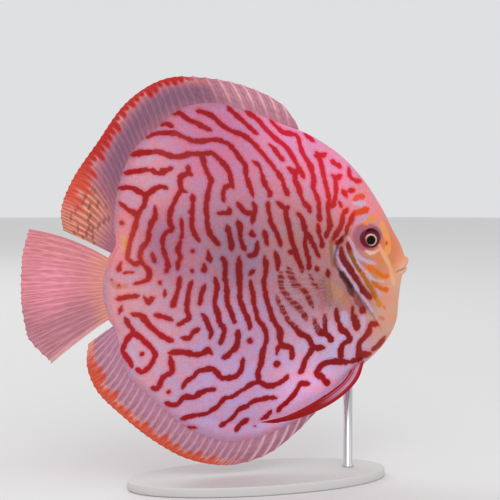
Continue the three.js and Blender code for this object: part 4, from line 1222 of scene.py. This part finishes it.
def median_grid(fin, rows=64):
    """Middle points of a fin of the back or belly, with the shares that colour it"""
    total = fin["spines"] + fin["soft"]
    spiny_end = fin["spines"] / (total - 1)
    fine_soft = round((total - 1 - fin["spines"]) * FINE_RAYS)
    phases = np.linspace(0, fin["spines"] + fine_soft,
                         (fin["spines"] + fine_soft) * COLUMNS_PER_RAY + 1)
    u = np.where(phases < fin["spines"], phases / (total - 1),
                 spiny_end + (phases - fin["spines"]) / fine_soft * (1 - spiny_end))
    row = np.linspace(0, 1, rows)
    from_share, to_share = outline_share(fin["root_from"]), outline_share(fin["root_to"])
    shares = from_share + (to_share - from_share) * u
    on_body = smooth_curve(BODY_OUTLINE, shares, closed=True)
    ahead = smooth_curve(BODY_OUTLINE, shares + 1e-4, closed=True) - on_body
    outward = np.stack([ahead[:, 1], -ahead[:, 0]], axis=1)
    outward /= np.linalg.norm(outward, axis=1, keepdims=True)
    away = np.sign(np.einsum("ij,ij->i", outward, on_body - MIDDLE))
    outward *= away[:, None]
    root = on_body + outward * (GAP + 0.05)
    tip = even_curve(fin["edge"], u ** fin["sweep"])
    length = np.linalg.norm(tip - root, axis=1)
    bow = MEDIAN["bow"] + MEDIAN["more_bow"] * np.sin(np.pi * u)
    turn = (root + tip) / 2 + outward * (length * bow)[:, None]
    level = smooth((u ** fin["sweep"] - 0.3) / 0.25) * smooth((1 - u) / 0.15)
    turn += level[:, None] * (tip + (root - tip) * LEVEL_TURN - turn)
    notch = MEDIAN["notch"] * np.where(phases < fin["spines"], 1.0, 0.45) * scallop(phases)
    t = row * (1 - notch / np.maximum(length, 4))[:, None]
    flat = ((1 - t) ** 2)[..., None] * root[:, None] + (2 * t * (1 - t))[..., None] * turn[:, None]
    flat = flat + (t ** 2)[..., None] * tip[:, None]
    wave = ripple(MEDIAN["wave"], row, u)
    middle = np.stack([flat[..., 0], bend_at(flat[..., 0]) + wave, flat[..., 1]], axis=-1)
    spines = (phases < fin["spines"])[:, None]
    ridge = np.where(spines, ray_ridge(phases[:, None], row, False),
                     ray_ridge(phases[:, None], row, True))
    return middle, u[:, None] + 0 * row, row + 0 * u[:, None], phases[:, None] + 0 * row, ridge


def mix(first, second, share):
    return np.asarray(first) + (np.asarray(second) - np.asarray(first)) * share[..., None]


def streaks(phase, row, start, seed):
    """Tongues of colour between the rays, each reaching in from the edge by its own length"""
    tongues = np.random.default_rng(seed).uniform(-0.13, 0.1, 120)
    reach = start + tongues[np.floor(phase).astype(int) % 120]
    between_rays = 1 - np.abs((phase % 1) - 0.5) * (2.1 - 1.2 * smooth((row - reach) / 0.25))
    return smooth((row - reach) / 0.1) * smooth(between_rays * 1.6)


def ray_marks(phase, row, seed):
    """Short dark marks across two or three neighbouring rays"""
    rng = np.random.default_rng(seed)
    marks = np.zeros_like(row)
    for low, high in ((0.25, 0.45), (0.45, 0.62), (0.62, 0.8)):
        places = rng.uniform(low, high, 80)[np.floor(phase / 1.4).astype(int) % 80]
        marks += smooth(1.3 - np.abs(row - places) / 0.024)
    return np.clip(marks, 0, 1)


def dorsal_colours(u, far, row, phase, ridge):
    band = mix((0.40, 0.140, 0.195), (0.50, 0.180, 0.220), smooth((row - 0.45) / 0.35))
    smoky = smooth(1.2 - np.abs(row - 0.45) / 0.28) * smooth((far - 0.22) / 0.15)
    band = mix(band, (0.215, 0.105, 0.175), 0.75 * smoky * smooth((0.84 - far) / 0.12))
    front = smooth((0.36 - far) / 0.12)
    band = mix(band, (0.52, 0.220, 0.290), front * 0.8)
    fine = np.maximum(ridge, 0.6 * ray_ridge(phase * 3, row, False))
    band = mix(band, (0.84, 0.44, 0.50), front * 0.6 * fine * smooth((row - 0.2) / 0.3))
    lobe = smooth((far - 0.8) / 0.08)
    lobe_colour = mix((0.52, 0.165, 0.120), (0.80, 0.30, 0.22), ridge)
    lobe_colour = mix(lobe_colour, (0.64, 0.29, 0.25), 0.7 * smooth((0.5 - row) / 0.3))
    band = band + (lobe * smooth((row - 0.1) / 0.3))[..., None] * (lobe_colour - band)
    band = mix(band, (0.24, 0.055, 0.045), 0.7 * ray_marks(phase, row, 21) * lobe)
    red_edge = smooth((far - 0.33) / 0.07) * smooth((0.97 - far) / 0.08)
    band = mix(band, (0.80, 0.36, 0.36), red_edge * 0.75 * smooth((row - 0.72) / 0.12))
    red = mix((0.50, 0.014, 0.012), (0.66, 0.075, 0.040), smooth((far - 0.74) / 0.14))
    cover = 0.96 * red_edge * streaks(phase, row, 0.68, 11)
    return band + cover[..., None] * (red - band)


def anal_colours(u, far, row, phase, ridge):
    band = mix((0.50, 0.225, 0.320), (0.42, 0.180, 0.240), smooth((row - 0.3) / 0.4))
    band = mix(band, (0.62, 0.34, 0.42), 0.45 * ridge * smooth((row - 0.2) / 0.3))
    front = smooth((0.4 - far) / 0.15)
    band = mix(band, (0.80, 0.52, 0.56), front * 0.55 * ridge)
    band = mix(band, (0.66, 0.14, 0.17), front * 0.8 * smooth((row - 0.86) / 0.1))
    rear = smooth((far - 0.34) / 0.12)
    band = mix(band, (0.82, 0.28, 0.20), rear * 0.85 * smooth((row - 0.66) / 0.16))
    cover = 0.9 * rear * streaks(phase, row, 0.66, 13) * smooth((0.99 - far) / 0.06)
    return mix(band, (0.62, 0.070, 0.032), cover)


median_sheets = []
for name, fin, colours, nodes in (
    ("dorsal_fin_sheet", DORSAL, dorsal_colours, ("dorsal_fin_spiny", "dorsal_fin_soft")),
    ("anal_fin_sheet", ANAL, anal_colours, ("anal_fin_spiny", "anal_fin_soft")),
):
    middle, u, row, phase, ridge = median_grid(fin)
    half = thinned(row, ridge, *MEDIAN["halves"])
    paint = colours(u, u ** fin["sweep"], row, phase, ridge)
    sheet = fin_sheet(name, middle, half, {"paint": paint, "ray": ridge,
                                           "place_on_fin": np.stack([phase, row * 30, 0 * u], -1)})
    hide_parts(*nodes)
    median_sheets.append(sheet)
    print(name, "faces:", len(sheet.data.polygons))

# %% [markdown]
# ## The tail fin
# It is a fan whose upper rays point up first and level out further on, and the whole fan turns to
# the fish's right. The rays are walked out step by step from the stalk, because their direction
# changes on the way.

# %% Tail fin
CAUDAL = {
    "root_x": -61.3, "top": -2.8, "bottom": -26.8, "rays": 21,
    "length": [39.5, 40.5, 40.5, 39.5, 32.5], "spread": [20, 9, -3, -16, -32],
    "flattening": 0.6, "turn_from": 5, "turn_to": 24, "notch": 0.9,
    "halves": (0.9, 0.42, 0.2), "wave": (0.7, 11),
}


def caudal_grid(rows=80):
    phases, column, row = fan_shares(CAUDAL["rays"], rows)
    length = along(CAUDAL["length"], column) - CAUDAL["notch"] * 0.5 * scallop(phases)
    spread = np.radians(along(CAUDAL["spread"], column))
    flattening = np.where(spread > 0, CAUDAL["flattening"], 0)
    middle_share = (row[1:] + row[:-1]) / 2
    more_turn = CAUDAL["turn_to"] - CAUDAL["turn_from"]
    turn = np.radians(CAUDAL["turn_from"] + more_turn * middle_share)
    angle = spread[:, None] * (1 + flattening[:, None] * (1 - 2 * middle_share))
    run = length[:, None] * np.diff(row)
    steps = np.stack([-run * np.cos(angle) * np.cos(turn), -run * np.cos(angle) * np.sin(turn),
                      run * np.sin(angle)], axis=-1)
    walked = np.concatenate([np.zeros((len(column), 1, 3)), np.cumsum(steps, axis=1)], axis=1)
    root_z = CAUDAL["top"] + (CAUDAL["bottom"] - CAUDAL["top"]) * column
    root = np.stack([0 * column + CAUDAL["root_x"] - GAP,
                     0 * column + bend_at(CAUDAL["root_x"]), root_z], axis=-1)
    middle = root[:, None] + walked
    middle[..., 1] += ripple(CAUDAL["wave"], row, column)
    return middle, column[:, None] + 0 * row, row + 0 * column[:, None], phases[:, None] + 0 * row


def caudal_colours(u, row):
    blade = mix((0.72, 0.250, 0.285), (0.51, 0.200, 0.245), smooth((u - 0.45) / 0.3))
    flush = smooth(1.2 - np.hypot((u - 0.42) / 0.3, (row - 0.68) / 0.3))
    blade = mix(blade, (0.82, 0.28, 0.375), flush * 0.75)
    blade = mix(blade, (0.80, 0.42, 0.42), 0.7 * smooth((u - 0.93) / 0.04))
    root = smooth((0.32 - row) / 0.3)
    return mix(blade, (0.72, 0.290, 0.215), root)


middle, u, row, phase = caudal_grid()
ridge = ray_ridge(phase, row, True)
half = thinned(row, ridge, *CAUDAL["halves"])
tail_sheet = fin_sheet("tail_fin_sheet", middle, half,
                       {"paint": caudal_colours(u, row), "ray": ridge,
                        "place_on_fin": np.stack([phase, row * 30, 0 * u], -1)})
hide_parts("caudal_fin")
print("tail fin faces:", len(tail_sheet.data.polygons))

# %% [markdown]
# ## Breast fins and belly fins
# The breast fins are almost as clear as water, with fine rays, and beat close to the flank. The
# belly fins are long, narrow and deep red, with a lilac strip along the body, and lie back against
# the belly.

# %% Paired fins
PECTORAL = {
    "root": [(29.8, -11.6), (31.6, -22.2)], "rays": 11, "length": [25, 29, 28, 22, 15],
    "spread": [16, 2, -15, -36, -58], "splay": 27, "cup": 9, "root_out": 0.9, "notch": 0.7,
    "halves": (0.7, 0.3, 0.14),
}
PELVIC = {
    "front": [(51, -48.8), (47, -57.4), (37.6, -65.4), (24, -71.4), (12, -73.8), (2.6, -73.6)],
    "back": [(45, -54), (42.2, -56.6), (34.2, -62), (23.4, -67.6), (12.7, -71.7), (4, -73.2)],
    "rays": 6, "flare": 4.6, "halves": (1.0, 0.45, 0.24),
}


def pectoral_grid(side, rows=48):
    phases, column, row = fan_shares(PECTORAL["rays"], rows)
    top, bottom = np.array(PECTORAL["root"])
    place = top + (bottom - top) * column[:, None]
    root = on_flank(place[:, 0], place[:, 1], side, PECTORAL["root_out"] + GAP)
    length = along(PECTORAL["length"], column) - PECTORAL["notch"] * 0.6 * scallop(phases)
    angle = np.radians(along(PECTORAL["spread"], column))[:, None]
    out = np.radians(PECTORAL["splay"] + PECTORAL["cup"] * (1 - 2 * row))
    run = length[:, None] * row
    walked = np.stack([-run * np.cos(angle) * np.cos(out),
                       side * run * np.cos(angle * 0.6) * np.sin(out),
                       run * np.sin(angle)], axis=-1)
    return root[:, None] + walked, phases[:, None] + 0 * row, row + 0 * column[:, None]


def pelvic_grid(side, rows=90):
    phases, column, row = fan_shares(PELVIC["rays"], rows)
    front, back_edge = even_curve(PELVIC["front"], row), even_curve(PELVIC["back"], row)
    flat = front + (back_edge - front) * column[:, None, None]
    x, z = flat[..., 0], flat[..., 1]
    root_half_body = half_thickness(x[:, :1], z[:, :1])
    beside = np.maximum(half_thickness(x, z),
                        root_half_body + (1 - root_half_body) * smooth(row * 1.4))
    y = side * (beside + PELVIC["halves"][0] + GAP + PELVIC["flare"] * np.sin(row * 2.2))
    return np.stack([x, y, z], axis=-1), phases[:, None] + 0 * row, row + 0 * column[:, None]


paired_sheets = {"pectoral": [], "pelvic": []}
for name, side in SIDES.items():
    middle, phase, row = pectoral_grid(side)
    ridge = ray_ridge(phase, row, True)
    half = thinned(row, ridge, *PECTORAL["halves"])
    sheet = fin_sheet(f"pectoral_sheet_{name}", middle, half,
                      {"ray": ridge, "out": row,
                       "place_on_fin": np.stack([phase, row * 30, 0 * row], -1)})
    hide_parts(f"pectoral_fin_{name}")
    paired_sheets["pectoral"].append(sheet)
    middle, phase, row = pelvic_grid(side)
    ridge = ray_ridge(phase, row, False)
    half = thinned(row, ridge, *PELVIC["halves"])
    back_share = phase / (PELVIC["rays"] - 1)
    inner = smooth((back_share - 0.24) / 0.14) * smooth((0.84 - back_share) / 0.1)
    inner = inner * smooth((0.5 - row) / 0.22)
    paint = mix((0.36, 0.004, 0.007), (0.60, 0.24, 0.40), inner * 0.9)
    dark_line = smooth(1.4 - np.abs(back_share - 0.68) / 0.07) * smooth((0.6 - row) / 0.1)
    paint = mix(paint, (0.26, 0.006, 0.020), dark_line * 0.85)
    sheet = fin_sheet(f"pelvic_sheet_{name}", middle, half,
                      {"paint": paint, "ray": ridge,
                       "place_on_fin": np.stack([phase, row * 30, 0 * row], -1)})
    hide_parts(f"pelvic_fin_{name}")
    paired_sheets["pelvic"].append(sheet)
print("paired fins:", sum(len(sheets) for sheets in paired_sheets.values()))

# %% [markdown]
# ## Fin finishes
# The rays catch the light and are paler than the web, and the web has fine threads along the rays.
# The web of the breast fins lets most of what is behind it through.


# %% Fin materials
def fin_material(name, ray_light, web_light, **numbers):
    finish = new_material(name, **numbers)
    place = attribute(finish, "place_on_fin", "Vector")
    threads = noise(finish, 1.6, 4.0, stretched(finish, place, (3.0, 0.16, 1.0)))
    light = between(finish, attribute(finish, "ray"), 0.1, 0.9, web_light, ray_light)
    drift = between(finish, threads, 0.3, 0.7, 0.86, 1.14)
    return finish, threads, arithmetic(finish, "MULTIPLY", light, drift)


def finish_fins(finish, threads, light, sheets):
    plug(finish, lit_by(finish, attribute(finish, "paint", "Color"), light), "Base Color")
    plug(finish, bump(finish, threads, 0.00008, 0.5), "Normal")
    plug(finish, between(finish, threads, 0.2, 0.8, 0.38, 0.52), "Roughness")
    for sheet in sheets:
        sheet.data.materials.append(finish)


finish_fins(*fin_material("smoky_fin", 1.12, 0.87, Roughness=0.45, Coat_Weight=0.06,
                          Coat_Roughness=0.25, Specular_IOR_Level=0.12),
            [*median_sheets, tail_sheet])
finish_fins(*fin_material("deep_red_fin", 1.25, 0.85, Roughness=0.42, Coat_Weight=0.08,
                          Coat_Roughness=0.2, Specular_IOR_Level=0.15),
            paired_sheets["pelvic"])
clear_finish, threads, light = fin_material("clear_fin_web", 1.1, 0.95, Roughness=0.3,
                                            Coat_Weight=0.2, Coat_Roughness=0.1)
clear_colour = blend_colour(clear_finish, attribute(clear_finish, "out"), (0.42, 0.18, 0.15),
                            (0.50, 0.28, 0.32))
plug(clear_finish, clear_colour, "Base Color")
ray_cover = between(clear_finish, attribute(clear_finish, "ray"), 0.1, 0.9, 0.02, 0.2)
root_cover = between(clear_finish, attribute(clear_finish, "out"), 0.2, 0.0, 0.0, 0.45)
plug(clear_finish, arithmetic(clear_finish, "ADD", ray_cover, root_cover), "Alpha")
plug(clear_finish, bump(clear_finish, threads, 0.00006, 0.4), "Normal")
for sheet in paired_sheets["pectoral"]:
    sheet.data.materials.append(clear_finish)
print("clear breast fins:", len(paired_sheets["pectoral"]))

# %% [markdown]
# ## The stand
# A museum model needs something to hold it up. An oval steel plate with a satin powder coat is
# heavy enough, and one thin rod carries the fish. Powder coat has a very fine orange-peel relief,
# and the rod was brushed along its length. Both CAD solids have the right shape but few faces, so
# the same shapes are made again with many.

# %% Stand
BASE = {"length": 116.0, "width": 54.0, "height": 4.0, "round": 0.8}
ROD = {"x": 45.5, "radius": 2.0, "foot_ring": 0.6}


def turned_piece(name, profile, centre, squeeze=1.0, turns=160):
    """A round piece from a profile of radii and heights, squeezed in Y"""
    turn = 2 * np.pi * np.arange(turns) / turns
    radii, heights = np.array(profile).T
    points = np.stack([radii[:, None] * np.cos(turn), squeeze * radii[:, None] * np.sin(turn),
                       heights[:, None] + 0 * turn], axis=-1).reshape(-1, 3) + centre - FISH_PLACE
    ring = np.arange(len(profile))[:, None] * turns + np.arange(turns)
    beside = np.roll(ring, -1, axis=1)
    quads = np.stack([ring[:-1], beside[:-1], beside[1:], ring[1:]], axis=-1).reshape(-1, 4)
    caps = np.stack([ring[0][::-1], ring[-1]])
    return mesh_object(name, points, [quads, caps])


corner = [(math.sin(a), 1 - math.cos(a)) for a in np.linspace(0, math.pi / 2, 9)]
half_length, height, rounding = BASE["length"] / 2, BASE["height"], BASE["round"]
base_profile = [(half_length - 0.5, 0.0), (half_length, 0.5)]
base_profile += [(half_length - rounding * fall, height - rounding * (1 - rise))
                 for rise, fall in corner]
plate = turned_piece("stand_plate", base_profile, (0, 0, 0), BASE["width"] / BASE["length"])
rod_x = ROD["x"] + FISH_PLACE[0]
rod_top = float(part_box("stand_rod")[1].z) / MM
rod_profile = [(ROD["radius"] + ROD["foot_ring"], height), (ROD["radius"] + ROD["foot_ring"],
               height + 0.5), (ROD["radius"], height + 1.3), (ROD["radius"], rod_top)]
rod = turned_piece("stand_post", rod_profile, (rod_x, 0, 0), turns=64)
plate_finish = new_material("powder_coated_plate", Roughness=0.42, Specular_IOR_Level=0.45)
peel = noise(plate_finish, 1500.0)
plate_tone = noise(plate_finish, 40.0)
plug(plate_finish, blend_colour(plate_finish, plate_tone, (0.60, 0.585, 0.57),
                                (0.66, 0.645, 0.63)), "Base Color")
plug(plate_finish, bump(plate_finish, peel, 0.00006, 0.5), "Normal")
rod_finish = new_material("brushed_steel_rod", Metallic=1.0, Roughness=0.3)
brush_place = add_node(rod_finish, "ShaderNodeTexCoord").outputs["Object"]
brushing = noise(rod_finish, 4000.0, 2.0, stretched(rod_finish, brush_place, (1, 1, 0.02)))
plug(rod_finish, blend_colour(rod_finish, brushing, (0.56, 0.56, 0.57), (0.68, 0.68, 0.69)),
     "Base Color")
plug(rod_finish, between(rod_finish, brushing, 0.2, 0.8, 0.24, 0.4), "Roughness")
plug(rod_finish, bump(rod_finish, brushing, 0.00003, 0.5), "Normal")
for piece, finish, node, slot in ((plate, plate_finish, "stand_base", "stand_paint"),
                                  (rod, rod_finish, "stand_rod", "stand_steel")):
    piece.data.materials.append(finish)
    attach(piece, "root")
    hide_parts(node)
print("rod from", height, "to", round(rod_top, 1), "mm")

# %% [markdown]
# ## Floor and light
# The model stands on a plain pale floor under soft studio light: a bright even surrounding, one
# big lamp from the front and above, a weaker one from the other side, and one behind to draw the
# edges. The plain colour transform is used, so that the paint colours arrive in the picture as
# mixed.

# %% Floor, light and colour
FLOOR_RADIUS = 4.0
bpy.ops.mesh.primitive_circle_add(vertices=96, radius=FLOOR_RADIUS, fill_type="NGON",
                                  location=(0, 0, -0.0002))
floor = bpy.context.object
floor.name = "floor"
floor_finish = new_material("pale_floor", Roughness=0.7, Specular_IOR_Level=0.2)
floor_tone = noise(floor_finish, 3.0)
plug(floor_finish, blend_colour(floor_finish, floor_tone, (0.76, 0.755, 0.75),
                                (0.79, 0.785, 0.78)), "Base Color")
floor.data.materials.append(floor_finish)
world = bpy.data.worlds.new("studio")
world.use_nodes = True
world.node_tree.nodes["Background"].inputs["Color"].default_value = (0.74, 0.745, 0.76, 1)
world.node_tree.nodes["Background"].inputs["Strength"].default_value = 1.0
bpy.context.scene.world = world
LAMPS = {
    "key": ((-0.35, -1.25, 1.0), 1.0, 8.0),
    "fill": ((1.1, -0.9, 0.5), 0.9, 1.2),
    "rim": ((-0.5, 1.2, 1.1), 1.0, 5.0),
}
for name, (place, size, watts) in LAMPS.items():
    lamp_data = bpy.data.lights.new(name, "AREA")
    lamp_data.size = size
    lamp_data.energy = watts
    lamp = bpy.data.objects.new(name, lamp_data)
    lamp.location = place
    aim = Matrix.Translation((0, 0, FISH_PLACE[2] * MM)).translation - lamp.location
    lamp.rotation_euler = aim.to_track_quat("-Z", "Y").to_euler()
    bpy.context.scene.collection.objects.link(lamp)
bpy.context.scene.view_settings.view_transform = "Standard"
print("lamps:", list(LAMPS))
